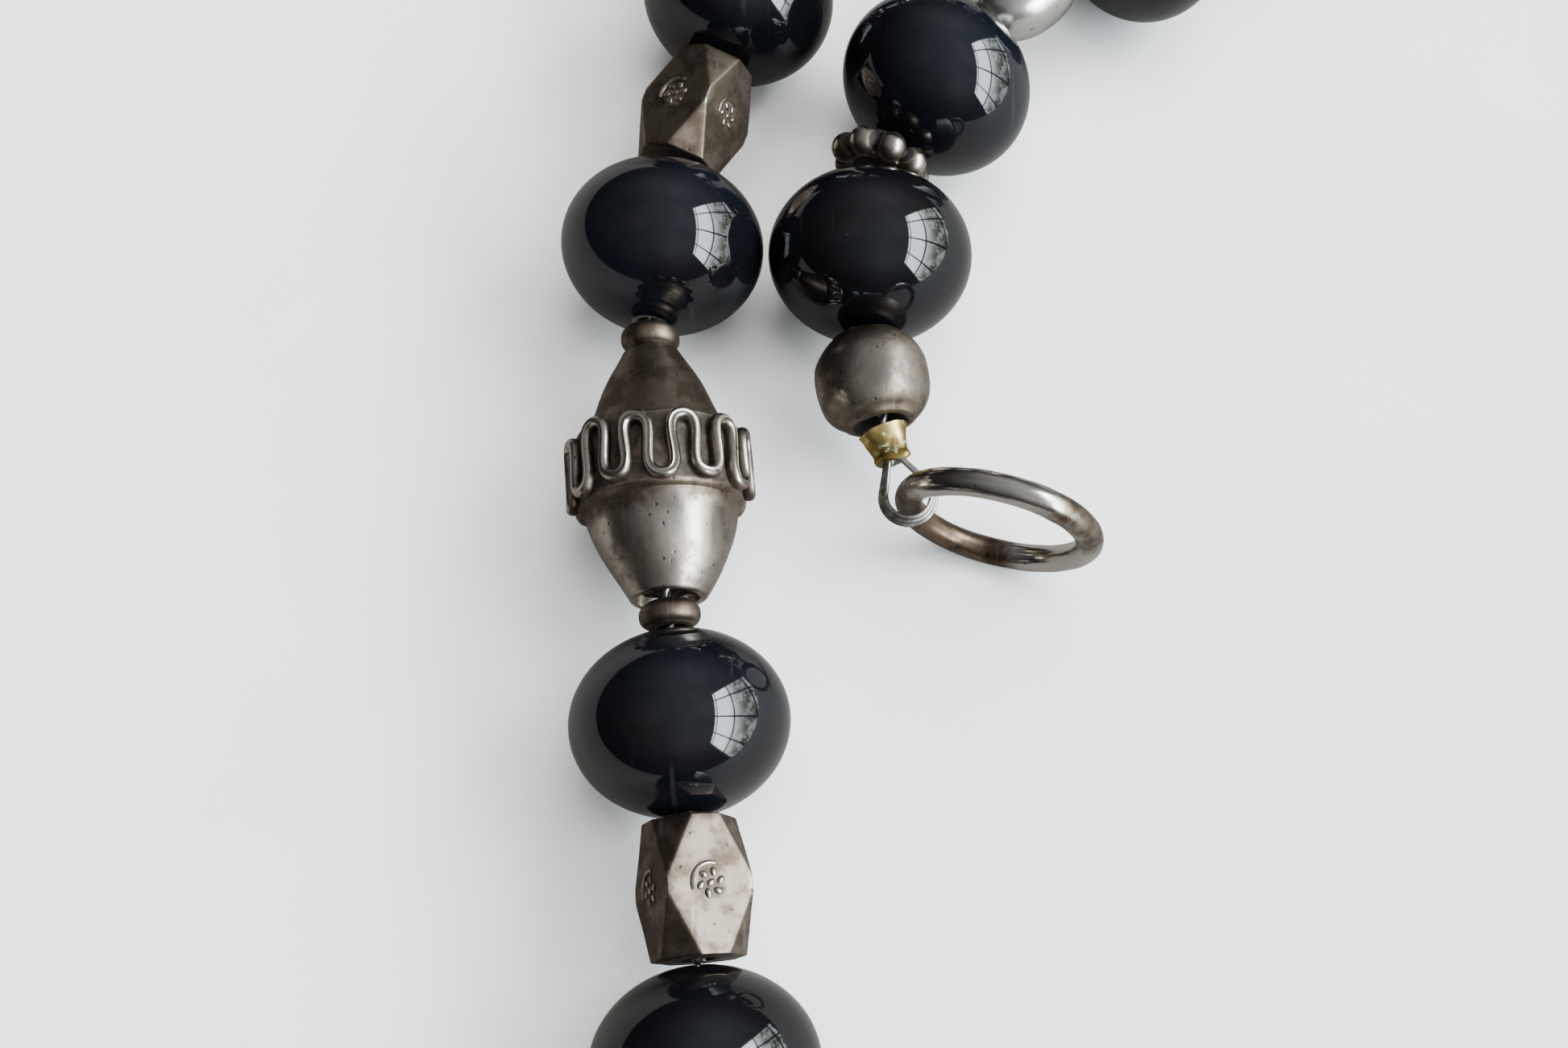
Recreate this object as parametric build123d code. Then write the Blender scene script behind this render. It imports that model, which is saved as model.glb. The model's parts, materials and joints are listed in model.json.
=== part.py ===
"""Misbaha: a string of black and silver beads with a ring-and-bar clasp.

The string lies on a table as one long hanging-drop loop, so that its two ends come down side
by side.  It is worked out as two half chains that start at the middle black bead.  Each piece is
threaded on a straight stretch of wire, and the string turns only in the gaps between pieces.
+Z is up, and the origin is under the middle of the bounding box, on the table.
All sizes are in millimetres and all angles in degrees.
"""
import math
import os
from dataclasses import dataclass

from build123d import *

# Black beads
BLACK_DIAMETER = 14.0
BLACK_LENGTH = 11.8
BLACK_RIM = 0.15
BLACK_COUNT = 16

# Bore of every bead and the twisted wire in it
WIRE_RADIUS = 0.45
BORE_CLEARANCE = 0.45
BORE_RADIUS = WIRE_RADIUS + BORE_CLEARANCE

# Outline of the round silver beads
OUTLINE_STEPS = 5
OUTLINE_FULLNESS = 0.8

# Plain oval silver bead
OVAL_DIAMETER = 6.0
OVAL_LENGTH = 8.0
OVAL_END_RADIUS = 1.5

# Faceted silver bead: a square bar with its eight corners cut off
FACETED_WIDTH = 5.6
FACETED_LENGTH = 8.4
FACETED_END_CUT = 1.7
FACETED_SIDE_CUT = 3.3

# Bicone with a raised band round its middle
BICONE_LENGTH = 17.2
BICONE_DIAMETER = 11.2
BICONE_NARROW_END_RADIUS = 2.1
BICONE_WIDE_END_RADIUS = 2.6
BICONE_WAIST_LENGTH = 3.4
BICONE_FULLNESS = 0.5
BAND_DIAMETER = 13.2
BAND_LENGTH = 5.2

# Rondelle on each side of a bicone
RONDELLE_DIAMETER = 4.0
RONDELLE_LENGTH = 1.7
RONDELLE_END_RADIUS = 1.4

# Daisy spacer: a ring of balls round a core
DAISY_BALL_DIAMETER = 2.1
DAISY_BALL_CIRCLE_RADIUS = 2.6
DAISY_BALL_COUNT = 8
DAISY_CORE_RADIUS = 2.2
DAISY_CORE_LENGTH = 1.5

# Barrel at each end of the string
BARREL_DIAMETER = 7.7
BARREL_LENGTH = 6.3
BARREL_END_RADIUS = 2.3

# Crushed crimp
CRIMP_LENGTH = 2.4
CRIMP_WIDTH = 3.4
CRIMP_THICKNESS = 2.1
CRIMP_EDGE = 0.3

# Wire loops
LOOP_STRAND_RADIUS = 0.33
LOOP_STRAND_GAP = 0.04
RING_LOOP_CLEARANCE = 0.22
RING_LOOP_REACH = 2.6
BAR_LOOP_CLEARANCE = 0.35
BAR_LOOP_DROOP = 50.0

# Clasp ring, which stands on its edge
RING_OUTER_DIAMETER = 14.0
RING_TUBE_RADIUS = 0.95
RING_HEADING = -16.0
RING_SWING = (-85.0, 70.0)

# Toggle bar, which lies on the table
BAR_RADIUS = 1.1
BAR_LENGTH = 20.0
EYE_TUBE_RADIUS = 0.5
EYE_RADIUS = 1.6
EYE_OVERLAP = 0.5
EYE_TILT = 14.0
BAR_SWING = (-55.0, 40.0)

# How the string lies
MIDDLE_HEADING = 223.0
CLEARANCE = 0.12
WIRE_CLEARANCE = 0.03
SMALLEST_GAP = 0.3
STRAND_CLEARANCE = 0.3
FLEX_RANGE = 10.0
LARGEST_BEND = 22.0
SWING_LIMIT = 25.0
SWING_STEPS = 40
STRAND_START = 4

# What follows each black bead, counted from the ring end
PATTERN = ["daisy", "oval", "faceted", "bicone", "faceted", "daisy", "oval", "bicone",
           "oval", "daisy", "faceted", "bicone", "faceted", "oval", "daisy"]

# Left turn of the string in each gap, from the middle bead outwards, in travel from the ring
# end to the bar end.  The bar end also droops.
TURNS_TO_RING = [19, 21, 19, 21, 19, 21, 19, 5, 5, 21, 17, 6, -9, -16, -16, -15, -13, -10]
TURNS_TO_BAR = [21, 5, 5, 19, 11, -1, -14, -15, -2, 11, 9, 3, 1, 0, -1, -1, -3, -4, -3, -4, -3, -2]
DROOP_TO_BAR = [0] * 20 + [10, 18]

LENGTHS = {
    "black": BLACK_LENGTH,
    "oval": OVAL_LENGTH,
    "faceted": FACETED_LENGTH,
    "bicone": BICONE_LENGTH,
    "rondelle": RONDELLE_LENGTH,
    "daisy": DAISY_BALL_DIAMETER,
    "barrel": BARREL_LENGTH,
    "crimp": CRIMP_LENGTH,
}
END_RADII = {
    "oval": OVAL_END_RADIUS,
    "faceted": math.hypot(FACETED_WIDTH / 2, FACETED_WIDTH / 2 - FACETED_END_CUT),
    "bicone": BICONE_WIDE_END_RADIUS,
    "rondelle": RONDELLE_END_RADIUS,
    "daisy": DAISY_BALL_CIRCLE_RADIUS,
    "barrel": BARREL_END_RADIUS,
    "crimp": CRIMP_WIDTH / 2,
}
SIDE_RADII = {
    "black": BLACK_DIAMETER / 2,
    "oval": OVAL_DIAMETER / 2,
    "faceted": FACETED_WIDTH * math.sqrt(0.5),
    "bicone": BAND_DIAMETER / 2,
    "rondelle": RONDELLE_DIAMETER / 2,
    "daisy": DAISY_BALL_CIRCLE_RADIUS + DAISY_BALL_DIAMETER / 2,
    "barrel": BARREL_DIAMETER / 2,
    "crimp": CRIMP_WIDTH / 2,
}
AXIS_HEIGHT = BLACK_DIAMETER / 2
EYE_ARM = 2 * EYE_RADIUS + BAR_RADIUS - EYE_OVERLAP


@dataclass
class Piece:
    """One piece on the string: its node name, its kind and the wire span that carries it."""

    name: str
    kind: str
    span: int
    frame: Plane = None


@dataclass
class Gap:
    """A gap between two pieces: where the string bends, and the joint there, if there is one."""

    centre: Vector
    axis: Vector
    flex: int
    low: float
    high: float


@dataclass
class Hinge:
    """A joint: its kind, its name or node, where it is, its limits and the span that holds it."""

    kind: str
    name: str
    centre: Vector
    axis: Vector
    limits: tuple
    span: int


def make_pieces():
    """List every threaded piece from the ring end to the bar end."""
    pieces = [Piece("crimp_ring_end", "crimp", 1), Piece("barrel_ring_end", "barrel", 1)]
    made = {}
    for number in range(1, BLACK_COUNT + 1):
        pieces.append(Piece(f"black_bead_{number:02d}", "black", number))
        if number == BLACK_COUNT:
            break
        kind = PATTERN[number - 1]
        made[kind] = made.get(kind, 0) + 1
        silver = Piece(f"silver_{kind}_{made[kind]}", kind, number)
        if kind == "bicone":
            first = 2 * made[kind] - 1
            pieces.append(Piece(f"rondelle_{first}", "rondelle", number))
            pieces.append(silver)
            pieces.append(Piece(f"rondelle_{first + 1}", "rondelle", number))
        else:
            pieces.append(silver)
    pieces.append(Piece("barrel_bar_end", "barrel", BLACK_COUNT))
    pieces.append(Piece("crimp_bar_end", "crimp", BLACK_COUNT))
    return pieces


def flex_range(flex, turn):
    """Give the joint's low and high value, as an opening of the loop or as a lift of the end."""
    if flex == 0:
        return 0.0, 0.0
    if flex % 2 == 1:
        return 0, math.floor(min(FLEX_RANGE, math.sqrt(LARGEST_BEND ** 2 - turn ** 2)))
    return 0, math.floor(min(FLEX_RANGE, LARGEST_BEND + turn))


def gap_length(kind_a, kind_b, flex, turn, droop, high):
    """Give the gap that keeps the two end rims clear of each other at the largest bend."""
    if flex % 2 == 1:
        bend = math.hypot(turn, high)
    else:
        bend = max(math.hypot(turn, droop), abs(turn - high))
    radii = [END_RADII[kind] for kind in (kind_a, kind_b) if kind != "black"]
    rim = min(radii)
    slope = math.tan(math.radians(bend))
    need = rim * slope
    if "black" in (kind_a, kind_b):
        pole_radius = BLACK_DIAMETER ** 2 / (2 * BLACK_LENGTH)
        nearest = min(rim, pole_radius * slope)
        need = nearest * slope - (nearest ** 2 - BORE_RADIUS ** 2) / (2 * pole_radius)
    return max(SMALLEST_GAP, need + CLEARANCE)


def direction(heading, droop):
    """Give the unit vector of a heading in the plan and a droop below the horizontal."""
    flat = math.cos(math.radians(droop))
    return Vector(flat * math.cos(math.radians(heading)), flat * math.sin(math.radians(heading)),
                  -math.sin(math.radians(droop)))


def piece_frame(centre, heading, droop):
    """Give a piece's frame: its Z runs along the string towards the bar end, its X is level."""
    across = Vector(math.sin(math.radians(heading)), -math.cos(math.radians(heading)), 0)
    return Plane(origin=centre, x_dir=across, z_dir=direction(heading, droop))


def walk(pieces, start, step, turns, droops, swing):
    """Place the pieces one after another from the middle bead, and list the gaps passed."""
    heading = MIDDLE_HEADING
    droop = 0.0
    centre = Vector(0, 0, AXIS_HEIGHT)
    gaps = []
    for count, turn in enumerate(turns):
        here = pieces[start + count * step]
        there = pieces[start + (count + 1) * step]
        flex = min(here.span, there.span) if here.span != there.span else 0
        low, high = flex_range(flex, turn)
        if count == 0:
            turn = turn + swing
        length = gap_length(here.kind, there.kind, flex, turn, droops[count], high)
        middle = centre + direction(heading, droop) * (step * (LENGTHS[here.kind] + length) / 2)
        across = math.radians(heading + step * turn / 2)
        heading += step * turn
        droop += droops[count]
        centre = middle + direction(heading, droop) * (step * (LENGTHS[there.kind] + length) / 2)
        there.frame = piece_frame(centre, heading, droop)
        if flex % 2 == 1:
            axis = Vector(math.sin(across), -math.cos(across), 0) * step
        else:
            axis = Vector(0, 0, -step)
        gaps.append(Gap(middle, axis, flex, low, high))
    return gaps


def lay_string(swing):
    """Lay the whole string with its first turn on each side changed by the swing."""
    pieces = make_pieces()
    names = [piece.name for piece in pieces]
    middle = names.index(f"black_bead_{BLACK_COUNT // 2:02d}")
    pieces[middle].frame = piece_frame(Vector(0, 0, AXIS_HEIGHT), MIDDLE_HEADING, 0)
    to_ring = walk(pieces, middle, -1, TURNS_TO_RING, [0] * len(TURNS_TO_RING), swing)
    to_bar = walk(pieces, middle, 1, TURNS_TO_BAR, DROOP_TO_BAR, swing)
    return pieces, middle, list(reversed(to_ring)) + to_bar


def strand_gap(pieces, middle):
    """Give the smallest gap between the two half chains, away from the middle bead."""
    gaps = []
    for one in pieces[:middle - STRAND_START]:
        for other in pieces[middle + STRAND_START:]:
            apart = (one.frame.origin - other.frame.origin).length
            gaps.append(apart - SIDE_RADII[one.kind] - SIDE_RADII[other.kind])
    return min(gaps)


def close_string():
    """Swing the two half chains together until their nearest beads are the clearance apart."""
    opened = -SWING_LIMIT
    closed = SWING_LIMIT
    for _ in range(SWING_STEPS):
        swing = (opened + closed) / 2
        pieces, middle, _ = lay_string(swing)
        if strand_gap(pieces, middle) > STRAND_CLEARANCE:
            opened = swing
        else:
            closed = swing
    pieces, _, gaps = lay_string(opened)
    return pieces, gaps


def turned(profile_edges):
    """Turn a closed half profile in the XZ plane round Z."""
    wire = Wire(profile_edges)
    return revolve(make_face(wire), Axis.Z, 360)


def bore_lines(rim, half):
    """Give the flat upper end, the bore and the flat lower end of a half profile."""
    return [
        Line((rim, 0, half), (BORE_RADIUS, 0, half)),
        Line((BORE_RADIUS, 0, half), (BORE_RADIUS, 0, -half)),
        Line((BORE_RADIUS, 0, -half), (rim, 0, -half)),
    ]


def black_bead():
    """Oblate bead with a small flat rim round each mouth of its bore."""
    half = BLACK_LENGTH / 2
    radius = BLACK_DIAMETER / 2
    rim = BORE_RADIUS + BLACK_RIM
    edge_angle = math.acos(rim / radius)
    points = []
    for step in range(-OUTLINE_STEPS, OUTLINE_STEPS + 1):
        angle = edge_angle * step / OUTLINE_STEPS
        height = half * math.sin(angle) / math.sin(edge_angle)
        points.append((radius * math.cos(angle), 0, height))
    return turned([Spline(points)] + bore_lines(rim, half))


def round_bead(length, diameter, end_radius):
    """Bead with flat ends and one smooth outline between them."""
    half = length / 2
    swell = diameter / 2 - end_radius
    points = []
    for step in range(-OUTLINE_STEPS, OUTLINE_STEPS + 1):
        share = step / OUTLINE_STEPS
        points.append((end_radius + swell * (1 - share ** 2) ** OUTLINE_FULLNESS, 0, half * share))
    return turned([Spline(points)] + bore_lines(end_radius, half))


def oval():
    """Plain oval bead."""
    return round_bead(OVAL_LENGTH, OVAL_DIAMETER, OVAL_END_RADIUS)


def rondelle():
    """Small domed disc."""
    return round_bead(RONDELLE_LENGTH, RONDELLE_DIAMETER, RONDELLE_END_RADIUS)


def barrel():
    """Barrel at the string's end."""
    return round_bead(BARREL_LENGTH, BARREL_DIAMETER, BARREL_END_RADIUS)


def faceted_bead():
    """Square bar with its eight corners cut off by sloping planes."""
    half_width = FACETED_WIDTH / 2
    half_length = FACETED_LENGTH / 2
    bead = Box(FACETED_WIDTH, FACETED_WIDTH, FACETED_LENGTH)
    for side_x in (-1, 1):
        for side_y in (-1, 1):
            for end in (-1, 1):
                across = 1 / FACETED_END_CUT
                normal = Vector(side_x * across, side_y * across, end / FACETED_SIDE_CUT)
                on_edge = Vector(side_x * half_width, side_y * half_width,
                                 end * (half_length - FACETED_SIDE_CUT))
                cut = Plane(origin=on_edge, z_dir=normal)
                bead = split(bead, bisect_by=cut, keep=Keep.BOTTOM)
    return bead - Cylinder(BORE_RADIUS, 2 * FACETED_LENGTH)


def bicone():
    """Double cone with slightly full sides and a raised band, narrow end first."""
    half = BICONE_LENGTH / 2
    waist = BICONE_WAIST_LENGTH / 2
    radius = BICONE_DIAMETER / 2

    def cone_middle(end_radius, sign):
        return ((radius + end_radius) / 2 + BICONE_FULLNESS, 0, sign * (half + waist) / 2)

    narrow = BICONE_NARROW_END_RADIUS
    wide = BICONE_WIDE_END_RADIUS
    body = turned([
        Line((BORE_RADIUS, 0, -half), (narrow, 0, -half)),
        ThreePointArc((narrow, 0, -half), cone_middle(narrow, -1), (radius, 0, -waist)),
        Line((radius, 0, -waist), (radius, 0, waist)),
        ThreePointArc((radius, 0, waist), cone_middle(wide, 1), (wide, 0, half)),
        Line((wide, 0, half), (BORE_RADIUS, 0, half)),
        Line((BORE_RADIUS, 0, half), (BORE_RADIUS, 0, -half)),
    ])
    band = Cylinder(BAND_DIAMETER / 2, BAND_LENGTH) - Cylinder(radius / 2, 2 * BAND_LENGTH)
    return body + band


def daisy():
    """Core ring with balls set round it."""
    spacer = Cylinder(DAISY_CORE_RADIUS, DAISY_CORE_LENGTH)
    ball = Sphere(DAISY_BALL_DIAMETER / 2)
    for place in PolarLocations(DAISY_BALL_CIRCLE_RADIUS, DAISY_BALL_COUNT):
        spacer += place * ball
    return spacer - Cylinder(BORE_RADIUS, 2 * DAISY_BALL_DIAMETER)


def crimp():
    """Crushed tube: an oval block with eased ends, pressed solid on the wire."""
    block = extrude(Ellipse(CRIMP_WIDTH / 2, CRIMP_THICKNESS / 2), CRIMP_LENGTH / 2, both=True)
    return fillet(block.edges(), CRIMP_EDGE)


SHAPES = {
    "black": black_bead,
    "oval": oval,
    "faceted": faceted_bead,
    "bicone": bicone,
    "rondelle": rondelle,
    "daisy": daisy,
    "barrel": barrel,
    "crimp": crimp,
}


def rod(start, end, radius):
    """Straight round rod between two points."""
    along = end - start
    return Plane(origin=start + along * 0.5, z_dir=along) * Cylinder(radius, along.length)


def wire_span(points, free_start, free_end):
    """Wire through the given points; a free end stands back so that it can tilt."""
    first = (points[1] - points[0]).normalized()
    last = (points[-2] - points[-1]).normalized()
    points = list(points)
    stand_back = WIRE_RADIUS * math.tan(math.radians(LARGEST_BEND / 2)) + WIRE_CLEARANCE
    if free_start:
        points[0] = points[0] + first * stand_back
    if free_end:
        points[-1] = points[-1] + last * stand_back
    wire = rod(points[0], points[1], WIRE_RADIUS)
    for corner, following in zip(points[1:-1], points[2:]):
        wire += Pos(corner) * Sphere(WIRE_RADIUS)
        wire += rod(corner, following, WIRE_RADIUS)
    return wire


def wire_loop(plane, reach, radius):
    """Loop of wire in the plane's XY, from its origin round a circle on its X axis."""
    side = LOOP_STRAND_RADIUS + LOOP_STRAND_GAP / 2
    start = Vector(0, side)
    away = math.hypot(reach, side)
    touch = math.atan2(side, -reach) - math.acos(radius / away)
    upper = Vector(reach + radius * math.cos(touch), radius * math.sin(touch))
    lower = Vector(upper.X, -upper.Y)
    path = Wire([Line(start, upper), ThreePointArc(upper, Vector(reach + radius, 0), lower),
                 Line(lower, Vector(0, -side))])
    section = Plane(origin=path @ 0, z_dir=path % 0) * Circle(LOOP_STRAND_RADIUS)
    return plane * sweep(section, path=path)


def ring_end(frame):
    """Work out the crimp's mouth, the loop and the pivot at the ring end."""
    outward = frame.z_dir * -1
    mouth = frame.origin + outward * (CRIMP_LENGTH / 2)
    pivot = mouth + outward * RING_LOOP_REACH
    radius = RING_TUBE_RADIUS + RING_LOOP_CLEARANCE + LOOP_STRAND_RADIUS
    plane = Plane(origin=mouth, x_dir=outward, z_dir=(0, 0, 1))
    start = mouth + outward * LOOP_STRAND_RADIUS
    return start, pivot, wire_loop(plane, RING_LOOP_REACH, radius)


def bar_end(frame, flat):
    """Work out the crimp's mouth, the loop and the pivot at the bar end."""
    droop = math.radians(BAR_LOOP_DROOP)
    pivot_height = BAR_RADIUS + EYE_ARM * math.sin(math.radians(EYE_TILT))
    mouth = frame.origin + frame.z_dir * (CRIMP_LENGTH / 2)
    reach = (mouth.Z - pivot_height) / math.sin(droop)
    down = flat * math.cos(droop) - Vector(0, 0, 1) * math.sin(droop)
    pivot = mouth + down * reach
    radius = EYE_TUBE_RADIUS + BAR_LOOP_CLEARANCE + LOOP_STRAND_RADIUS
    plane = Plane(origin=mouth, x_dir=down, z_dir=(-flat.Y, flat.X, 0))
    start = mouth + frame.z_dir * LOOP_STRAND_RADIUS
    return start, pivot, wire_loop(plane, reach, radius)


def clasp_ring(pivot):
    """Closed round ring that stands on edge, held at its side by the wire loop."""
    middle_radius = RING_OUTER_DIAMETER / 2 - RING_TUBE_RADIUS
    outward = direction(RING_HEADING, 0)
    normal = Vector(-outward.Y, outward.X, 0)
    centre = pivot + outward * middle_radius
    plane = Plane(origin=centre, x_dir=outward, z_dir=normal)
    return plane * Torus(middle_radius, RING_TUBE_RADIUS)


def toggle_bar(pivot, flat):
    """Round bar with rounded ends and an eye at its middle, tilted up to the wire loop."""
    tilt = math.radians(EYE_TILT)
    across = Vector(-flat.Y, flat.X, 0)
    arm = flat * math.cos(tilt) - Vector(0, 0, 1) * math.sin(tilt)
    centre = pivot + arm * EYE_ARM
    ends = [centre - across * (BAR_LENGTH / 2), centre + across * (BAR_LENGTH / 2)]
    eye_plane = Plane(origin=pivot + arm * EYE_RADIUS, x_dir=arm, z_dir=arm.cross(across))
    bar = rod(ends[0], ends[1], BAR_RADIUS)
    bar += eye_plane * Torus(EYE_RADIUS, EYE_TUBE_RADIUS)
    for end in ends:
        bar += Pos(end) * Sphere(BAR_RADIUS)
    return bar


def wire_points(pieces, gaps, start, end):
    """List the points that each wire span runs through, the gaps' middles and the two ends."""
    spans = {number: [] for number in range(1, BLACK_COUNT + 1)}
    for before, gap in zip(pieces[:-1], gaps):
        spans[before.span].append(gap.centre)
        if gap.flex:
            spans[gap.flex + 1].append(gap.centre)
    spans[1].insert(0, start)
    spans[BLACK_COUNT].append(end)
    return spans


def build():
    """Make every node in its place and list the joints, before the origin is set."""
    pieces, gaps = close_string()
    shapes = {kind: make() for kind, make in SHAPES.items()}
    nodes = {piece.name: piece.frame * shapes[piece.kind] for piece in pieces}

    first = pieces[0].frame
    last = pieces[-1].frame
    flat = Vector(last.z_dir.X, last.z_dir.Y, 0).normalized()
    ring_start, ring_pivot, ring_loop = ring_end(first)
    bar_start, bar_pivot, bar_loop = bar_end(last, flat)
    for number, points in wire_points(pieces, gaps, ring_start, bar_start).items():
        wire = wire_span(points, number > 1, number < BLACK_COUNT)
        if number == 1:
            wire += ring_loop
        if number == BLACK_COUNT:
            wire += bar_loop
        nodes[f"wire_span_{number:02d}"] = wire
    nodes["clasp_ring"] = clasp_ring(ring_pivot)
    nodes["toggle_bar"] = toggle_bar(bar_pivot, flat)

    bar_axis = Vector(flat.Y, -flat.X, 0)
    joints = [Hinge("ring", "clasp_ring", ring_pivot, Vector(0, 0, 1), RING_SWING, 1),
              Hinge("bar", "toggle_bar", bar_pivot, bar_axis, BAR_SWING, BLACK_COUNT)]
    for gap in gaps:
        if gap.flex:
            limits = (gap.low, gap.high)
            joints.append(Hinge("flex", f"flex_{gap.flex:02d}", gap.centre, gap.axis, limits, gap.flex))
    for piece in pieces:
        if piece.kind != "crimp":
            place = piece.frame
            joints.append(Hinge("spin", piece.name, place.origin, place.z_dir, None, piece.span))
    return nodes, joints


def centred(nodes):
    """Give the move that puts the origin under the middle of the bounding box."""
    boxes = [node.bounding_box() for node in nodes.values()]
    low_x = min(box.min.X for box in boxes)
    high_x = max(box.max.X for box in boxes)
    low_y = min(box.min.Y for box in boxes)
    high_y = max(box.max.Y for box in boxes)
    low_z = min(box.min.Z for box in boxes)
    return Vector(-(low_x + high_x) / 2, -(low_y + high_y) / 2, -low_z)


def main():
    """Write one STEP file per node."""
    os.makedirs("parts", exist_ok=True)
    nodes, _ = build()
    move = Pos(centred(nodes))
    for name, shape in nodes.items():
        export_step(move * shape, f"parts/{name}.step")
    print(f"{len(nodes)} nodes")


if __name__ == "__main__":
    main()
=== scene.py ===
"""Misbaha prayer beads: the looks of every bead, the twisted wire and the clasp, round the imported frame."""
import json
import logging
import math
from dataclasses import dataclass
from enum import Enum
from typing import Callable, Iterable, Optional, Sequence

import bpy
from mathutils import Matrix, Vector, noise

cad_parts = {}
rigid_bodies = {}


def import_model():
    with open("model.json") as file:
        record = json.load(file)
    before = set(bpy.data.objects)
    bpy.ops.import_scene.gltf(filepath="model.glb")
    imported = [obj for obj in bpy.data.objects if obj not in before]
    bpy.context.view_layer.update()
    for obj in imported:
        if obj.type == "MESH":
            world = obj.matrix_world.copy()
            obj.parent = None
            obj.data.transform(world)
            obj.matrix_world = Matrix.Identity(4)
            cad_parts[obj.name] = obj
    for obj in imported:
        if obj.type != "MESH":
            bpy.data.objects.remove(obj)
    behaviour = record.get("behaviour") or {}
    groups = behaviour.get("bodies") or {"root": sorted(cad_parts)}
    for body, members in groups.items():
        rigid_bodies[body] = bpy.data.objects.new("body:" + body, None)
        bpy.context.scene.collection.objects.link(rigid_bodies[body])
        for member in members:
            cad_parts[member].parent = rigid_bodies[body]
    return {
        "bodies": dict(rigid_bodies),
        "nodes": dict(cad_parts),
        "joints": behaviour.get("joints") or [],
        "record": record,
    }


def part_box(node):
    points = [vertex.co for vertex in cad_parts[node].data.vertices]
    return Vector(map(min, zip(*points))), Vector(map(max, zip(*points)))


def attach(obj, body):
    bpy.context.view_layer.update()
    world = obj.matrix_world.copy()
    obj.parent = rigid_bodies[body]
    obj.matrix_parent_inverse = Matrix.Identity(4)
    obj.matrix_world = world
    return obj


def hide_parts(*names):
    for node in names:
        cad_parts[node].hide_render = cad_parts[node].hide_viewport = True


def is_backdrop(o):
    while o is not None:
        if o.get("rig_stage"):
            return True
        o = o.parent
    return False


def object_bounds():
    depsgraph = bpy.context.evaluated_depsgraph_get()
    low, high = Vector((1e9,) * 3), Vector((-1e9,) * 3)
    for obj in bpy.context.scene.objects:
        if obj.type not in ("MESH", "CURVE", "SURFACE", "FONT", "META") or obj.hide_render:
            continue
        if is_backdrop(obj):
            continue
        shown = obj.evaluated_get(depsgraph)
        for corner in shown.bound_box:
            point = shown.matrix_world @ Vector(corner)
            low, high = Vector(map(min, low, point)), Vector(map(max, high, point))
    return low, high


LOG = logging.getLogger("misbaha")
MM = 0.001

Profile = Sequence[tuple[float, float]]
Colour = tuple[float, float, float]


# ------------------------------------------------------------------ modelling tools

def to_object_mode() -> None:
    """Leave edit mode if it is on and deselect everything."""
    if bpy.context.object is not None and bpy.context.object.mode != "OBJECT":
        bpy.ops.object.mode_set(mode="OBJECT")
    bpy.ops.object.select_all(action="DESELECT")


def make_active(piece: bpy.types.Object) -> None:
    """Select one object alone and make it active.

    Args:
        piece: the mesh object.
    """
    to_object_mode()
    piece.select_set(True)
    bpy.context.view_layer.objects.active = piece


def tidy_mesh(piece: bpy.types.Object, merge_mm: float = 0.002) -> None:
    """Merge doubles and turn every face outwards.

    Args:
        piece: the mesh object.
        merge_mm: how near two vertices are when they are one.
    """
    make_active(piece)
    bpy.ops.object.mode_set(mode="EDIT")
    bpy.ops.mesh.select_all(action="SELECT")
    bpy.ops.mesh.remove_doubles(threshold=merge_mm * MM)
    bpy.ops.mesh.normals_make_consistent(inside=False)
    bpy.ops.object.mode_set(mode="OBJECT")


def apply_modifiers(piece: bpy.types.Object) -> None:
    """Apply every modifier of a piece in order.

    Args:
        piece: the mesh object.
    """
    make_active(piece)
    for modifier in list(piece.modifiers):
        bpy.ops.object.modifier_apply(modifier=modifier.name)


def smooth(piece: bpy.types.Object, angle: float = 40.0) -> None:
    """Shade smooth except over edges sharper than the angle in degrees."""
    make_active(piece)
    bpy.ops.object.shade_smooth_by_angle(angle=math.radians(angle))


def join(parts: list[bpy.types.Object], name: str) -> bpy.types.Object:
    """Join several objects into the first one.

    Args:
        parts: the objects; the first one stays.
        name: the joined object's name.

    Returns:
        The joined object.
    """
    to_object_mode()
    for part in parts:
        part.select_set(True)
    bpy.context.view_layer.objects.active = parts[0]
    if len(parts) > 1:
        bpy.ops.object.join()
    parts[0].name = name
    parts[0].data.name = name
    return parts[0]


def lathe(name: str, profile: Profile, segments: int) -> bpy.types.Object:
    """Turn a closed profile round Z by extruding a circle from point to point.

    Args:
        name: the new object's name.
        profile: radius and height of each point in millimetres, outline first, bore last.
        segments: how many sides the circle has.

    Returns:
        The closed turned object, its axis on Z and its middle at the origin.
    """
    to_object_mode()
    radius, height = profile[0]
    bpy.ops.mesh.primitive_circle_add(vertices=segments, radius=radius * MM, location=(0, 0, height * MM))
    piece = bpy.context.object
    piece.name = name
    make_active(piece)
    bpy.ops.object.transform_apply(location=True, rotation=True, scale=True)
    bpy.ops.object.mode_set(mode="EDIT")
    bpy.ops.mesh.select_all(action="SELECT")
    for following_radius, following_height in list(profile[1:]) + [profile[0]]:
        rise = (following_height - height) * MM
        bpy.ops.mesh.extrude_region_move(TRANSFORM_OT_translate={"value": (0, 0, rise)})
        share = following_radius / radius
        bpy.ops.transform.resize(value=(share, share, 1), center_override=(0, 0, following_height * MM))
        radius, height = following_radius, following_height
    bpy.ops.object.mode_set(mode="OBJECT")
    tidy_mesh(piece)
    return piece


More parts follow.
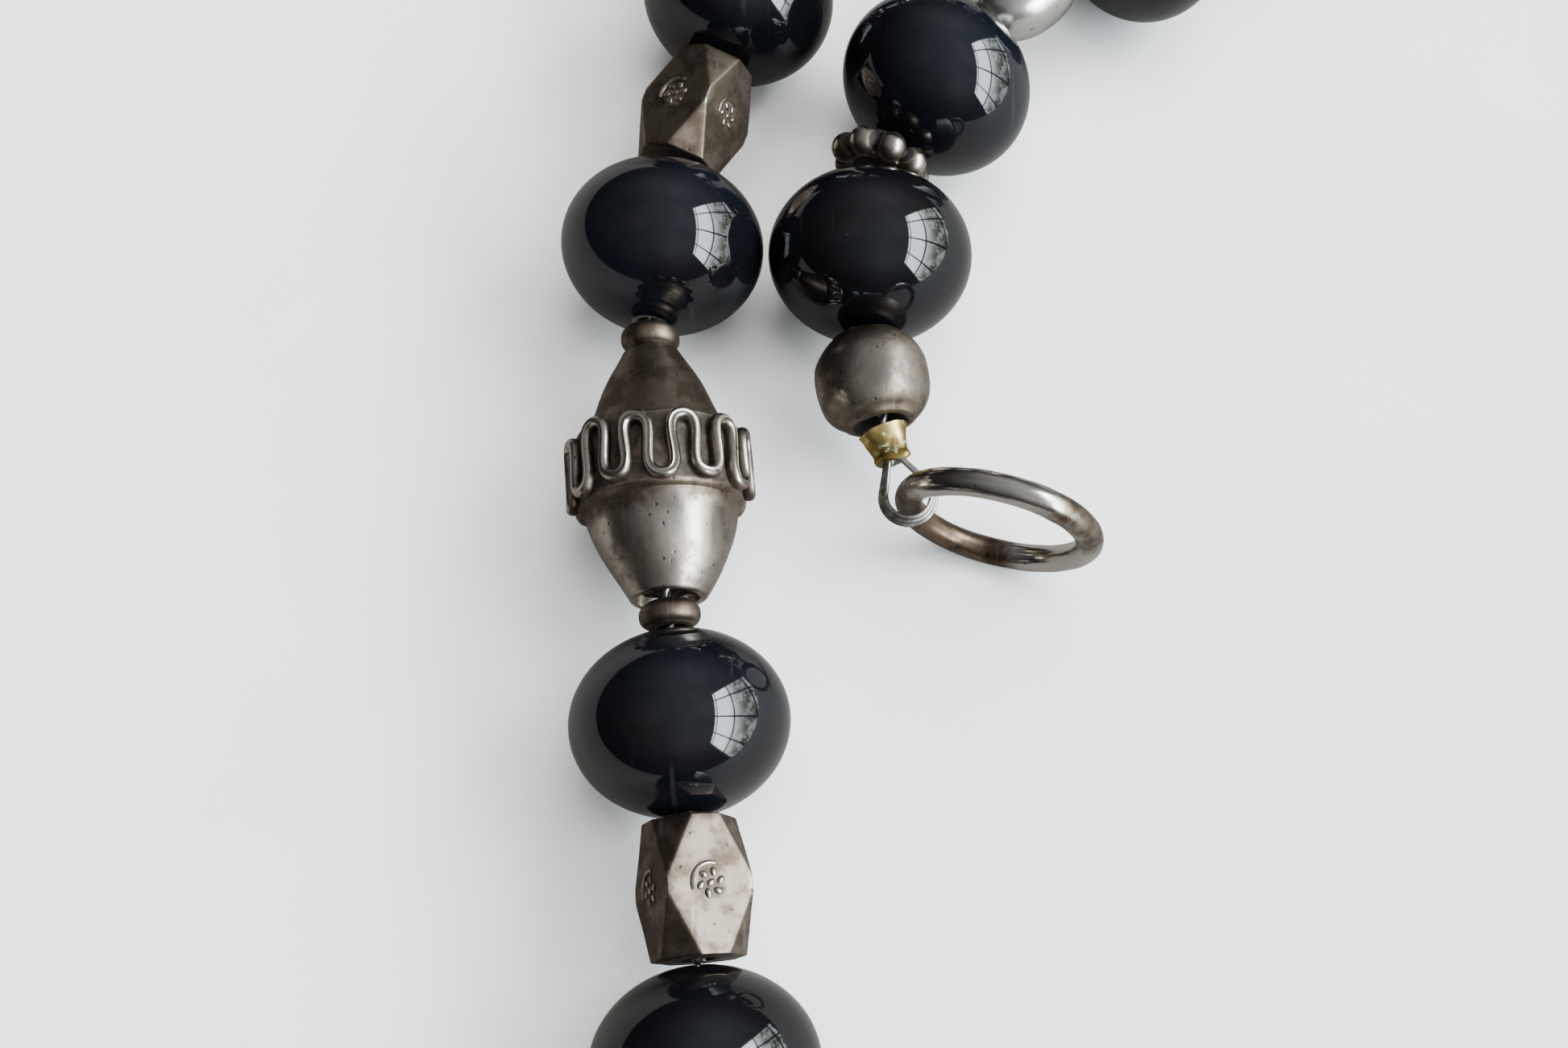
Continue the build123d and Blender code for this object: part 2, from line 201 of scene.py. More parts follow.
def arc_points(centre: tuple[float, float], radius: float, start: float, end: float,
               steps: int) -> list[tuple[float, float]]:
    """Give points on an arc.

    Args:
        centre: the arc's centre, as radius and height in millimetres.
        radius: the arc's radius.
        start: first angle in degrees from the outward direction.
        end: last angle.
        steps: how many points after the first.

    Returns:
        The points as radius and height.
    """
    points = []
    for step in range(steps + 1):
        angle = math.radians(start + (end - start) * step / steps)
        points.append((centre[0] + radius * math.cos(angle), centre[1] + radius * math.sin(angle)))
    return points


def set_mask(piece: bpy.types.Object, name: str, value: Callable[[Vector], float]) -> None:
    """Write a value between 0 and 1 on every vertex, for the materials to read.

    Args:
        piece: the mesh object.
        name: the attribute's name.
        value: gives the value at a place in metres.
    """
    attribute = piece.data.attributes.get(name) or piece.data.attributes.new(name, "FLOAT", "POINT")
    values = [min(1.0, max(0.0, value(vertex.co))) for vertex in piece.data.vertices]
    attribute.data.foreach_set("value", values)


def dent(piece: bpy.types.Object, amount: float, grain: float, seed: float) -> None:
    """Move a piece's surface a little in and out, as hand work leaves it.

    Args:
        piece: the mesh object.
        amount: how far, in millimetres.
        grain: width of one dent in millimetres.
        seed: any number; the same number gives the same dents.
    """
    shift = Vector((seed * 3.7, seed * 1.3, seed * 7.1))
    normals = [vertex.normal.copy() for vertex in piece.data.vertices]
    for vertex, normal in zip(piece.data.vertices, normals):
        height = noise.noise(vertex.co / (grain * MM) + shift)
        vertex.co += normal * (height * amount * MM)


def smooth_step(low: float, high: float, value: float) -> float:
    """Rise smoothly from 0 at low to 1 at high."""
    share = min(1.0, max(0.0, (value - low) / (high - low)))
    return share * share * (3 - 2 * share)


# ------------------------------------------------------------------ shader tools

class Sheet:
    """A small helper that adds nodes to one node tree and links them."""

    def __init__(self, tree: bpy.types.NodeTree) -> None:
        """Keep the tree."""
        self.tree = tree

    def add(self, kind: str, **settings: object) -> bpy.types.Node:
        """Add a node.

        Args:
            kind: the node's type name.
            **settings: properties of the node, or inputs as in_NAME.

        Returns:
            The node.
        """
        node = self.tree.nodes.new(kind)
        for key, value in settings.items():
            if key.startswith("in_"):
                self.feed(value, node.inputs[key[3:].replace("_", " ")])
            else:
                setattr(node, key, value)
        return node

    def feed(self, source: object, target: bpy.types.NodeSocket) -> None:
        """Link a socket to the target, or set the target's value.

        Args:
            source: a socket or a plain value.
            target: the input socket.
        """
        if isinstance(source, bpy.types.NodeSocket):
            self.tree.links.new(source, target)
        else:
            target.default_value = source

    def math(self, operation: str, first: object, second: object = 0.0,
             clamp: bool = False) -> bpy.types.NodeSocket:
        """Add a Math node and give its output.

        Args:
            operation: the Math node's operation.
            first: the first value or colour.
            second: the second value or colour.
            clamp: whether to keep the result from 0 to 1.

        Returns:
            The result's socket.
        """
        node = self.add("ShaderNodeMath", operation=operation, use_clamp=clamp)
        self.feed(first, node.inputs[0])
        self.feed(second, node.inputs[1])
        return node.outputs[0]

    def mix(self, share: object, first: object, second: object) -> bpy.types.NodeSocket:
        """Mix two colours and give the result.

        Args:
            share: the second one's share, from 0 to 1.
            first: the first value or colour.
            second: the second value or colour.

        Returns:
            The result's socket.
        """
        node = self.add("ShaderNodeMix", data_type="RGBA", clamp_factor=True)
        self.feed(share, node.inputs[0])
        for value, target in ((first, node.inputs[6]), (second, node.inputs[7])):
            self.feed((*value, 1.0) if isinstance(value, tuple) else value, target)
        return node.outputs[2]

    def ramp(self, value: object, low: float, high: float, to_low: float = 0.0,
             to_high: float = 1.0) -> bpy.types.NodeSocket:
        """Map a range smoothly to another.

        Args:
            value: the value to map.
            low: the value where the rise starts.
            high: the value where it ends.
            to_low: the result at the low end.
            to_high: the result at the high end.

        Returns:
            The result's socket.
        """
        node = self.add("ShaderNodeMapRange", interpolation_type="SMOOTHSTEP")
        for place, number in zip(("Value", "From Min", "From Max", "To Min", "To Max"),
                                 (value, low, high, to_low, to_high)):
            self.feed(number, node.inputs[place])
        return node.outputs[0]

    def noise(self, vector: object, scale: float, detail: float = 3.0,
              rough: float = 0.55) -> bpy.types.NodeSocket:
        """Add a noise texture and give its value.

        Args:
            vector: the place to sample.
            scale: the texture's scale.
            detail: the octaves of detail.
            rough: how strong the fine octaves are.

        Returns:
            The result's socket.
        """
        node = self.add("ShaderNodeTexNoise", in_Scale=scale, in_Detail=detail, in_Roughness=rough)
        self.feed(vector, node.inputs["Vector"])
        return node.outputs[0]


@dataclass(frozen=True)
class GroupSocket:
    """One named input or output of a node group."""

    name: str
    is_output: bool = False
    start: float = 0.0
    kind: str = "NodeSocketFloat"


def new_group(name: str, sockets: Iterable[GroupSocket]) -> tuple[bpy.types.NodeTree, bpy.types.Node,
                                                                  bpy.types.Node]:
    """Make an empty shader node group with its sockets.

    Args:
        name: the group's name.
        sockets: its inputs and outputs.

    Returns:
        The tree, its input node and its output node.
    """
    tree = bpy.data.node_groups.new(name, "ShaderNodeTree")
    for socket in sockets:
        made = tree.interface.new_socket(name=socket.name, in_out="OUTPUT" if socket.is_output else "INPUT",
                                         socket_type=socket.kind)
        if not socket.is_output and socket.kind == "NodeSocketFloat":
            made.default_value = socket.start
    return tree, tree.nodes.new("NodeGroupInput"), tree.nodes.new("NodeGroupOutput")


class Effects:
    """The effects that several finishes share, each built once as a node group."""

    def __init__(self) -> None:
        """Build every group."""
        self.tarnish = self._tarnish()
        self.scuffs = self._scuffs()
        self.pits = self._pits()

    @staticmethod
    def _tarnish() -> bpy.types.NodeTree:
        """Patchy film: broad blotches, small blotches and what gathers in hollows, with the painted
        highlights and shade that the masks carry on the clasp ring.

        Returns:
            The group.
        """
        tree, inputs, outputs = new_group("tarnish_film", [
            GroupSocket("Amount", start=0.5), GroupSocket("Recess"), GroupSocket("Wear"),
            GroupSocket("Film", True), GroupSocket("Grime", True), GroupSocket("Tone", True)])
        sheet = Sheet(tree)
        place = sheet.add("ShaderNodeTexCoord").outputs["Object"]
        broad = sheet.noise(place, 230.0, 4.0, 0.6)
        small = sheet.noise(place, 1300.0, 5.0, 0.65)
        tone = sheet.noise(place, 380.0, 4.0, 0.62)
        blend = sheet.math("ADD", sheet.math("MULTIPLY", broad, 0.62), sheet.math("MULTIPLY", small, 0.38))
        level = sheet.math("SUBTRACT", 0.98, inputs.outputs["Amount"])
        # the recess mask thickens the film: tarnish in hollows, and on the clasp ring painted shade too
        lifted = sheet.math("ADD", blend, sheet.math("MULTIPLY", inputs.outputs["Recess"], 0.45))
        # the wear mask thins the film: real rubbing, and on the clasp ring painted highlights too
        rubbed = sheet.math("SUBTRACT", lifted, sheet.math("MULTIPLY", inputs.outputs["Wear"], 0.4))
        above = sheet.math("SUBTRACT", rubbed, level)
        film = sheet.ramp(above, -0.13, 0.15)
        # black in hollows; on the clasp ring this also adds a little painted shade
        grime_noise = sheet.math("ADD", inputs.outputs["Recess"], sheet.math("MULTIPLY", small, 0.5))
        grime = sheet.ramp(grime_noise, 0.78, 1.15)
        tree.links.new(film, outputs.inputs["Film"])
        tree.links.new(grime, outputs.inputs["Grime"])
        tree.links.new(tone, outputs.inputs["Tone"])
        return tree

    @staticmethod
    def _scuffs() -> bpy.types.NodeTree:
        """Fine hair scratches in three directions.

        Returns:
            The group.
        """
        tree, inputs, outputs = new_group("hair_scuffs", [
            GroupSocket("Scale", start=1.0), GroupSocket("Lines", True)])
        sheet = Sheet(tree)
        place = sheet.add("ShaderNodeTexCoord").outputs["Object"]
        total: object = 0.0
        for turn, (stretch, along) in enumerate(((2600.0, 130.0), (3400.0, 90.0), (1900.0, 160.0))):
            mapping = sheet.add("ShaderNodeMapping")
            sheet.feed(place, mapping.inputs["Vector"])
            mapping.inputs["Rotation"].default_value = (0.5 + turn, 0.9 * turn, 1.1 + 2.0 * turn)
            mapping.inputs["Scale"].default_value = (stretch, along, along)
            scaled = sheet.add("ShaderNodeVectorMath", operation="SCALE")
            sheet.feed(mapping.outputs[0], scaled.inputs[0])
            sheet.feed(inputs.outputs["Scale"], scaled.inputs["Scale"])
            lines = sheet.ramp(sheet.noise(scaled.outputs[0], 1.0, 2.0, 0.5), 0.66, 0.74)
            total = sheet.math("MAXIMUM", total, lines)
        tree.links.new(total, outputs.inputs["Lines"])
        return tree

    @staticmethod
    def _pits() -> bpy.types.NodeTree:
        """Small casting pits and hammer dimples as a height.

        Returns:
            The group.
        """
        tree, inputs, outputs = new_group("cast_pits", [
            GroupSocket("Scale", start=1500.0), GroupSocket("Height", True), GroupSocket("Pits", True)])
        sheet = Sheet(tree)
        place = sheet.add("ShaderNodeTexCoord").outputs["Object"]
        cells = sheet.add("ShaderNodeTexVoronoi", feature="F1")
        sheet.feed(place, cells.inputs["Vector"])
        sheet.feed(inputs.outputs["Scale"], cells.inputs["Scale"])
        pit = sheet.ramp(cells.outputs["Distance"], 0.06, 0.24)
        pick = sheet.ramp(sheet.noise(place, 900.0, 1.0), 0.52, 0.6)
        pitted = sheet.math("SUBTRACT", 1.0, sheet.math("MULTIPLY", sheet.math("SUBTRACT", 1.0, pit), pick))
        grain = sheet.noise(place, 2600.0, 6.0, 0.7)
        lumps = sheet.noise(place, 620.0, 2.0, 0.5)
        rough = sheet.math("ADD", sheet.math("MULTIPLY", grain, 0.25), sheet.math("MULTIPLY", lumps, 0.6))
        height = sheet.math("ADD", sheet.math("MULTIPLY", pitted, 0.55), rough)
        tree.links.new(height, outputs.inputs["Height"])
        tree.links.new(sheet.math("SUBTRACT", 1.0, pitted), outputs.inputs["Pits"])
        return tree


def place_group(sheet: Sheet, tree: bpy.types.NodeTree, **values: object) -> bpy.types.Node:
    """Place a node group in a material and set its inputs.

    Args:
        sheet: the material's sheet.
        tree: the group.
        **values: its inputs by name.

    Returns:
        The group node.
    """
    node = sheet.add("ShaderNodeGroup", node_tree=tree)
    for key, value in values.items():
        sheet.feed(value, node.inputs[key])
    return node


def start_material(name: str, view: Colour) -> tuple[bpy.types.Material, Sheet, bpy.types.Node]:
    """Make a material with a Principled shader alone.

    Args:
        name: the material's name.
        view: the colour it has in a solid view.

    Returns:
        The material, its sheet and its shader node.
    """
    material = bpy.data.materials.new(name)
    material.use_nodes = True
    material.diffuse_color = (*view, 1.0)
    tree = material.node_tree
    tree.nodes.clear()
    sheet = Sheet(tree)
    shader = sheet.add("ShaderNodeBsdfPrincipled")
    output = sheet.add("ShaderNodeOutputMaterial")
    tree.links.new(shader.outputs[0], output.inputs[0])
    return material, sheet, shader


def read_mask(sheet: Sheet, name: str) -> bpy.types.NodeSocket:
    """Read a value that a mesh holds on its vertices."""
    return sheet.add("ShaderNodeAttribute", attribute_name=name).outputs["Fac"]


@dataclass(frozen=True)
class BlackStone:
    """Polished black stone: deep gloss, hair scratches, and scuffed grey round the drill holes."""

    colour: Colour = (0.0022, 0.0023, 0.0028)
    clouded: Colour = (0.003, 0.004, 0.0065)
    scuffed: Colour = (0.17, 0.16, 0.15)
    roughness: float = 0.035
    name: str = "black_stone"

    def make(self, effects: Effects) -> bpy.types.Material:
        """Build the material.

        Args:
            effects: the shared node groups.

        Returns:
            The material.
        """
        material, sheet, shader = start_material(self.name, self.colour)
        place = sheet.add("ShaderNodeTexCoord").outputs["Object"]
        hole = read_mask(sheet, "hole")
        chips = sheet.noise(place, 1500.0, 5.0, 0.7)
        chipped = sheet.ramp(sheet.math("ADD", hole, sheet.math("MULTIPLY", chips, 0.75)), 1.02, 1.3)
        lines = place_group(sheet, effects.scuffs, Scale=0.55).outputs["Lines"]
        pick = sheet.ramp(sheet.noise(place, 150.0, 2.0), 0.52, 0.66)
        scratch = sheet.math("MULTIPLY", lines, pick)
        specks = sheet.ramp(sheet.noise(place, 4200.0, 2.0, 0.6), 0.74, 0.8)
        dust = sheet.math("MULTIPLY", specks, sheet.ramp(sheet.noise(place, 330.0, 2.0), 0.5, 0.62))
        marks = sheet.math("MAXIMUM", sheet.math("MULTIPLY", scratch, 0.1), sheet.math("MULTIPLY", dust, 0.4))
        clouds = sheet.ramp(sheet.noise(place, 90.0, 2.0), 0.35, 0.7)
        tint = sheet.mix(clouds, self.colour, self.clouded)
        worn = sheet.mix(marks, tint, (0.1, 0.1, 0.1))
        sheet.feed(sheet.mix(chipped, worn, self.scuffed), shader.inputs["Base Color"])
        haze = sheet.ramp(sheet.noise(place, 260.0, 3.0), 0.4, 0.75, self.roughness, self.roughness + 0.035)
        rough = sheet.math("ADD", haze, sheet.math("MULTIPLY", chipped, 0.45), clamp=True)
        scratched = sheet.math("ADD", rough, sheet.math("MULTIPLY", scratch, 0.06))
        sheet.feed(scratched, shader.inputs["Roughness"])
        shader.inputs["IOR"].default_value = 1.54
        bump = sheet.add("ShaderNodeBump", in_Strength=0.12, in_Distance=0.00004)
        height = sheet.math("SUBTRACT", sheet.math("MULTIPLY", sheet.noise(place, 150.0, 2.0), 0.8),
                            sheet.math("ADD", sheet.math("MULTIPLY", scratch, 0.2),
                                       sheet.math("MULTIPLY", sheet.math("MULTIPLY", chipped, chips), 2.0)))
        sheet.feed(height, bump.inputs["Height"])
        sheet.feed(bump.outputs[0], shader.inputs["Normal"])
        return material


@dataclass(frozen=True)
class OldSilver:
    """Silver under a patchy brown-grey film, rubbed bright where it is handled, black where it is not; on the
    clasp ring the same masks also paint highlights and shade.
    """

    name: str
    bright: Colour = (0.43, 0.385, 0.33)
    film: Colour = (0.205, 0.162, 0.124)
    deep: Colour = (0.1, 0.073, 0.053)
    grime: Colour = (0.014, 0.011, 0.009)
    amount: float = 0.64
    bright_roughness: float = 0.25
    film_roughness: float = 0.46
    bump: float = 0.5
    pit_scale: float = 1500.0
    scuffs: float = 0.5

    def make(self, effects: Effects) -> bpy.types.Material:
        """Build the material.

        Args:
            effects: the shared node groups.

        Returns:
            The material.
        """
        material, sheet, shader = start_material(self.name, self.film)
        # recess mask: tarnish in hollows, and painted shade on the clasp ring
        recess = read_mask(sheet, "recess")
        # wear mask: rubbed places, and painted highlights on the clasp ring
        wear = read_mask(sheet, "wear")
        film = place_group(sheet, effects.tarnish, Amount=self.amount, Recess=recess, Wear=wear)
        pits = place_group(sheet, effects.pits, Scale=self.pit_scale)
        lines = place_group(sheet, effects.scuffs, Scale=1.0).outputs["Lines"]
        toned = sheet.mix(sheet.ramp(film.outputs["Tone"], 0.42, 0.6), self.film, self.deep)
        covered = sheet.mix(film.outputs["Film"], self.bright, toned)
        spotted = sheet.mix(sheet.math("MULTIPLY", pits.outputs["Pits"], 0.75), covered, self.grime)
        lined = sheet.mix(sheet.math("MULTIPLY", lines, self.scuffs * 0.5), spotted, self.bright)
        sheet.feed(sheet.mix(film.outputs["Grime"], lined, self.grime), shader.inputs["Base Color"])
        mixed = sheet.ramp(film.outputs["Film"], 0.0, 1.0, self.bright_roughness, self.film_roughness)
        uneven = sheet.math("SUBTRACT", film.outputs["Tone"], 0.5)
        blotched = sheet.math("ADD", mixed, sheet.math("MULTIPLY", uneven, 0.3))
        rough = sheet.math("ADD", blotched, sheet.math("MULTIPLY", film.outputs["Grime"], 0.25), clamp=True)
        sheet.feed(rough, shader.inputs["Roughness"])
        metal = sheet.math("SUBTRACT", 1.0, sheet.math("MULTIPLY", film.outputs["Grime"], 0.7))
        sheet.feed(metal, shader.inputs["Metallic"])
        bump = sheet.add("ShaderNodeBump", in_Strength=self.bump, in_Distance=0.00006)
        scored = sheet.math("MULTIPLY", lines, 0.25 * self.scuffs)
        height = sheet.math("SUBTRACT", pits.outputs["Height"], scored)
        sheet.feed(height, bump.inputs["Height"])
        sheet.feed(bump.outputs[0], shader.inputs["Normal"])
        return material


@dataclass(frozen=True)
class OldBrass:
    """Crushed brass, yellow where it is rubbed, with green growth at its edges."""

    name: str = "crimp_brass"
    bright: Colour = (0.80, 0.60, 0.22)
    film: Colour = (0.28, 0.19, 0.06)
    green: Colour = (0.12, 0.27, 0.20)

    def make(self, effects: Effects) -> bpy.types.Material:
        """Build the material.

        Args:
            effects: the shared node groups.

        Returns:
            The material.
        """
        material, sheet, shader = start_material(self.name, self.film)
        place = sheet.add("ShaderNodeTexCoord").outputs["Object"]
        recess = read_mask(sheet, "recess")
        film = place_group(sheet, effects.tarnish, Amount=0.56, Recess=recess, Wear=0.1)
        pits = place_group(sheet, effects.pits, Scale=2100.0)
        covered = sheet.mix(film.outputs["Film"], self.bright, self.film)
        patches = sheet.noise(place, 1500.0, 5.0)
        growth = sheet.ramp(sheet.math("ADD", patches, sheet.math("MULTIPLY", recess, 0.14)), 0.58, 0.72)
        sheet.feed(sheet.mix(growth, covered, self.green), shader.inputs["Base Color"])
        sheet.feed(sheet.ramp(growth, 0.0, 1.0, 0.3, 0.75), shader.inputs["Roughness"])
        sheet.feed(sheet.ramp(growth, 0.0, 1.0, 1.0, 0.15), shader.inputs["Metallic"])
        bump = sheet.add("ShaderNodeBump", in_Strength=0.6, in_Distance=0.00006)
        sheet.feed(sheet.math("ADD", pits.outputs["Height"], growth), bump.inputs["Height"])
        sheet.feed(bump.outputs[0], shader.inputs["Normal"])
        return material


class Finish(Enum):
    """The finishes of the string."""

    BLACK_STONE = "black_stone"
    AGED_SILVER = "aged_silver"
    BRIGHT_SILVER = "bright_silver"
    CLASP_SILVER = "clasp_silver"
    CRIMP_BRASS = "crimp_brass"
    STRING_WIRE = "string_wire"


class Finishes:
    """Every material of the object, made once."""

    def __init__(self) -> None:
        """Make the materials."""
        effects = Effects()
        makers = {
            Finish.BLACK_STONE: BlackStone(),
            Finish.AGED_SILVER: OldSilver("aged_silver"),
            Finish.BRIGHT_SILVER: OldSilver("bright_silver", amount=0.38, bright=(0.74, 0.71, 0.66), bump=0.3,
                                            film=(0.46, 0.41, 0.35), deep=(0.3, 0.255, 0.21)),
            Finish.CLASP_SILVER: OldSilver("clasp_silver", amount=0.56, bright_roughness=0.18, bump=0.22,
                                           film_roughness=0.34, pit_scale=1100.0, scuffs=0.35,
                                           bright=(0.56, 0.53, 0.48), film=(0.18, 0.13, 0.09),
                                           deep=(0.085, 0.055, 0.038)),
            Finish.CRIMP_BRASS: OldBrass(),
            Finish.STRING_WIRE: OldSilver("string_wire", amount=0.42, bright=(0.6, 0.59, 0.55), bump=0.2,
                                          film=(0.27, 0.26, 0.2), bright_roughness=0.3),
        }
        self.materials = {finish: maker.make(effects) for finish, maker in makers.items()}

    def dress(self, piece: bpy.types.Object, finish: Finish) -> None:
        """Give a piece its material.

        Args:
            piece: the mesh object.
            finish: the finish to give.
        """
        piece.data.materials.clear()
        piece.data.materials.append(self.materials[finish])


# ------------------------------------------------------------------ places on the string

@dataclass(frozen=True)
class Seat:
    """Where a threaded piece sits: its middle and the way its bore runs, at rest."""

    node: str
    body: str
    centre: Vector
    axis: Vector

    def matrix(self, roll: float) -> Matrix:
        """Give the move from the piece's own frame to its place.

        Args:
            roll: turn about the bore in degrees; at 0 the piece's X lies level.

        Returns:
            The move.
        """
        level = Vector((self.axis.y, -self.axis.x, 0)).normalized()
        up = self.axis.cross(level)
        turn = Matrix((level, up, self.axis)).transposed().to_4x4()
        return Matrix.Translation(self.centre) @ turn @ Matrix.Rotation(math.radians(roll), 4, "Z")


class Layout:
    """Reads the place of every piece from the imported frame."""

    def __init__(self, frame: dict) -> None:
        """Read the joints and the bodies of the record.

        Args:
            frame: the frame to read.
        """
        behaviour = frame["record"]["behaviour"]
        self.body_of = {node: body for body, nodes in behaviour["bodies"].items() for node in nodes}
        self.joints = {joint["child"]: joint for joint in behaviour["joints"]}
        self.flexes = sorted((joint for joint in behaviour["joints"] if joint["name"].startswith("flex_")),
                             key=lambda joint: joint["name"])
        self.nodes = sorted(self.body_of)

    def seat(self, node: str) -> Seat:
        """Give the seat of a threaded node."""
        joint = self.joints[node]
        return Seat(node, self.body_of[node], Vector(joint["pos_m"]), Vector(joint["axis"]).normalized())

    def threaded(self, prefix: str) -> list[Seat]:
        """Give the seats of every threaded node whose name starts with the prefix."""
        return [self.seat(node) for node in self.nodes if node.startswith(prefix)]

    def on_span(self, number: int) -> list[Seat]:
        """Give the seats of the pieces that turn on one span of wire.

        Args:
            number: the span, counted from the ring end.

        Returns:
            Their seats, in order of name.
        """
        span = f"span_{number:02d}"
        return [self.seat(node) for node in self.nodes if node in self.joints
                and self.joints[node]["parent"] == span and self.joints[node]["name"].endswith("_spin")]

    def flex_point(self, number: int) -> Vector:
        """Give the middle of the gap between span NUMBER and the next."""
        return Vector(self.flexes[number - 1]["pos_m"])


def settle(pattern: bpy.types.Object, seat: Seat, roll: float, finishes: Finishes, finish: Finish,
           scale: float = 1.0) -> bpy.types.Object:
    """Put one copy of a pattern on its seat, with its own mesh, and let it ride.

    Args:
        pattern: the piece modelled at the origin.
        seat: where it goes.
        roll: turn about the bore in degrees.
        finishes: the materials.
        finish: which of them.
        scale: size against the pattern, for hand-made beads.

    Returns:
        The placed piece.
    """
    copy = bpy.data.objects.new(f"{seat.node}_look", pattern.data.copy())
    bpy.context.scene.collection.objects.link(copy)
    copy.data.transform(seat.matrix(roll) @ Matrix.Scale(scale, 4))
    copy.data.name = copy.name
    finishes.dress(copy, finish)
    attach(copy, seat.body)
    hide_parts(seat.node)
    LOG.info("%s: %d faces on %s", copy.name, len(copy.data.polygons), seat.body)
    return copy


def discard(pattern: bpy.types.Object) -> None:
    """Remove a pattern once its copies are placed."""
    bpy.data.objects.remove(pattern)


# ------------------------------------------------------------------ beads

@dataclass
class BlackBeads:
    """Oblate polished beads with a small eased drill hole at each end, in millimetres."""

    diameter: float = 14.0
    length: float = 11.8
    bore_radius: float = 0.9
    ease: float = 0.14
    segments: int = 80
    steps: int = 44

    def pattern(self) -> bpy.types.Object:
        """Turn one bead.

        Returns:
            The piece, its bore on Z and its middle at the origin.
        """
        semi = self.length / 2 / math.sqrt(1 - (2 * self.bore_radius / self.diameter) ** 2)
        rim = self.bore_radius + self.ease
        edge = math.acos(rim / (self.diameter / 2))
        outline = []
        for step in range(self.steps + 1):
            angle = -edge + 2 * edge * step / self.steps
            outline.append((self.diameter / 2 * math.cos(angle), semi * math.sin(angle)))
        top = outline[-1][1]
        eased = [(self.bore_radius + self.ease * 0.3, top - self.ease * 0.25),
                 (self.bore_radius, top - self.ease)]
        lower = [(radius, -height) for radius, height in reversed(eased)]
        inner = [(self.bore_radius, top * share) for share in (0.5, 0.0, -0.5)]
        piece = lathe("black_bead_pattern", outline + eased + inner + lower, self.segments)
        scuffed = 2.1 * MM

        def near_hole(place: Vector) -> float:
            """Fall from 1 at the drill hole to 0 a little way out."""
            return 1.0 - smooth_step(self.bore_radius * MM, scuffed, math.hypot(place.x, place.y))

        set_mask(piece, "hole", near_hole)
        smooth(piece, 50)
        return piece

    def build(self, layout: Layout, finishes: Finishes) -> None:
        """Place every black bead, each turned and sized a little differently.

        Args:
            layout: every piece's place.
            finishes: the materials.
        """
        pattern = self.pattern()
        for number, seat in enumerate(layout.threaded("black_bead_")):
            scale = 1.0 - 0.006 * ((number * 7) % 4) / 3
            settle(pattern, seat, 47.0 * number, finishes, Finish.BLACK_STONE, scale)
        discard(pattern)


@dataclass
class RoundSilver:
    """Turned silver beads with a round outline: ovals, barrels and rondelles."""

    prefix: str
    length: float
    diameter: float
    end_radius: float
    lip: float
    finish: Finish
    dents: float
    bore_radius: float = 0.9
    mouth: float = 0.0
    fullness: float = 1.0
    handled: float = 0.6
    filmed: float = 0.0
    segments: int = 64
    steps: int = 28

    def outline(self) -> list[tuple[float, float]]:
        """Give the outline from the lower rim to the upper rim, fuller than one arc when asked.

        Returns:
            The points in millimetres.
        """
        half = self.length / 2 - self.lip
        side = self.diameter / 2 - self.end_radius
        points = []
        for step in range(self.steps + 1):
            share = -1 + 2 * step / self.steps
            swell = (1 - abs(share) ** (2 * self.fullness)) ** (1 / self.fullness)
            points.append((self.end_radius + side * swell, half * share))
        return points

    def pattern(self) -> bpy.types.Object:
        """Turn one bead with rounded lips and an open mouth at each bore.

        Returns:
            The piece, its bore on Z and its middle at the origin.
        """
        outline = self.outline()
        half = self.length / 2
        mouth = max(self.mouth, self.bore_radius + 0.05)
        end = self.end_radius
        lip = [(end - self.lip * 0.3, half - self.lip * 0.3), (end - self.lip, half)]
        inner = [(mouth + 0.08, half), (mouth, half - 0.08),
                 (self.bore_radius, half - 0.08 - (mouth - self.bore_radius))]
        top = lip + inner
        bottom = [(radius, -height) for radius, height in reversed(top)]
        bore = [(self.bore_radius, 0.0)]
        piece = lathe(f"{self.prefix}_pattern", outline + top + bore + bottom, self.segments)
        dent(piece, self.dents, 2.4, len(self.prefix))

        def recess(place: Vector) -> float:
            """Rise towards the mouths, where the film is never rubbed off."""
            radius = math.hypot(place.x, place.y)
            return max(self.filmed, 1.0 - smooth_step(mouth * MM, (mouth + 0.75) * MM, radius))

        def wear(place: Vector) -> float:
            """Rise on the widest part, which is handled."""
            radius = math.hypot(place.x, place.y)
            return smooth_step(self.diameter * 0.36 * MM, self.diameter * 0.5 * MM, radius) * self.handled

        set_mask(piece, "recess", recess)
        set_mask(piece, "wear", wear)
        smooth(piece, 50)
        return piece

    def build(self, layout: Layout, finishes: Finishes) -> None:
        """Place every bead of this kind.

        Args:
            layout: every piece's place.
            finishes: the materials.
        """
        pattern = self.pattern()
        for number, seat in enumerate(layout.threaded(self.prefix)):
            settle(pattern, seat, 73.0 * number, finishes, self.finish)
        discard(pattern)


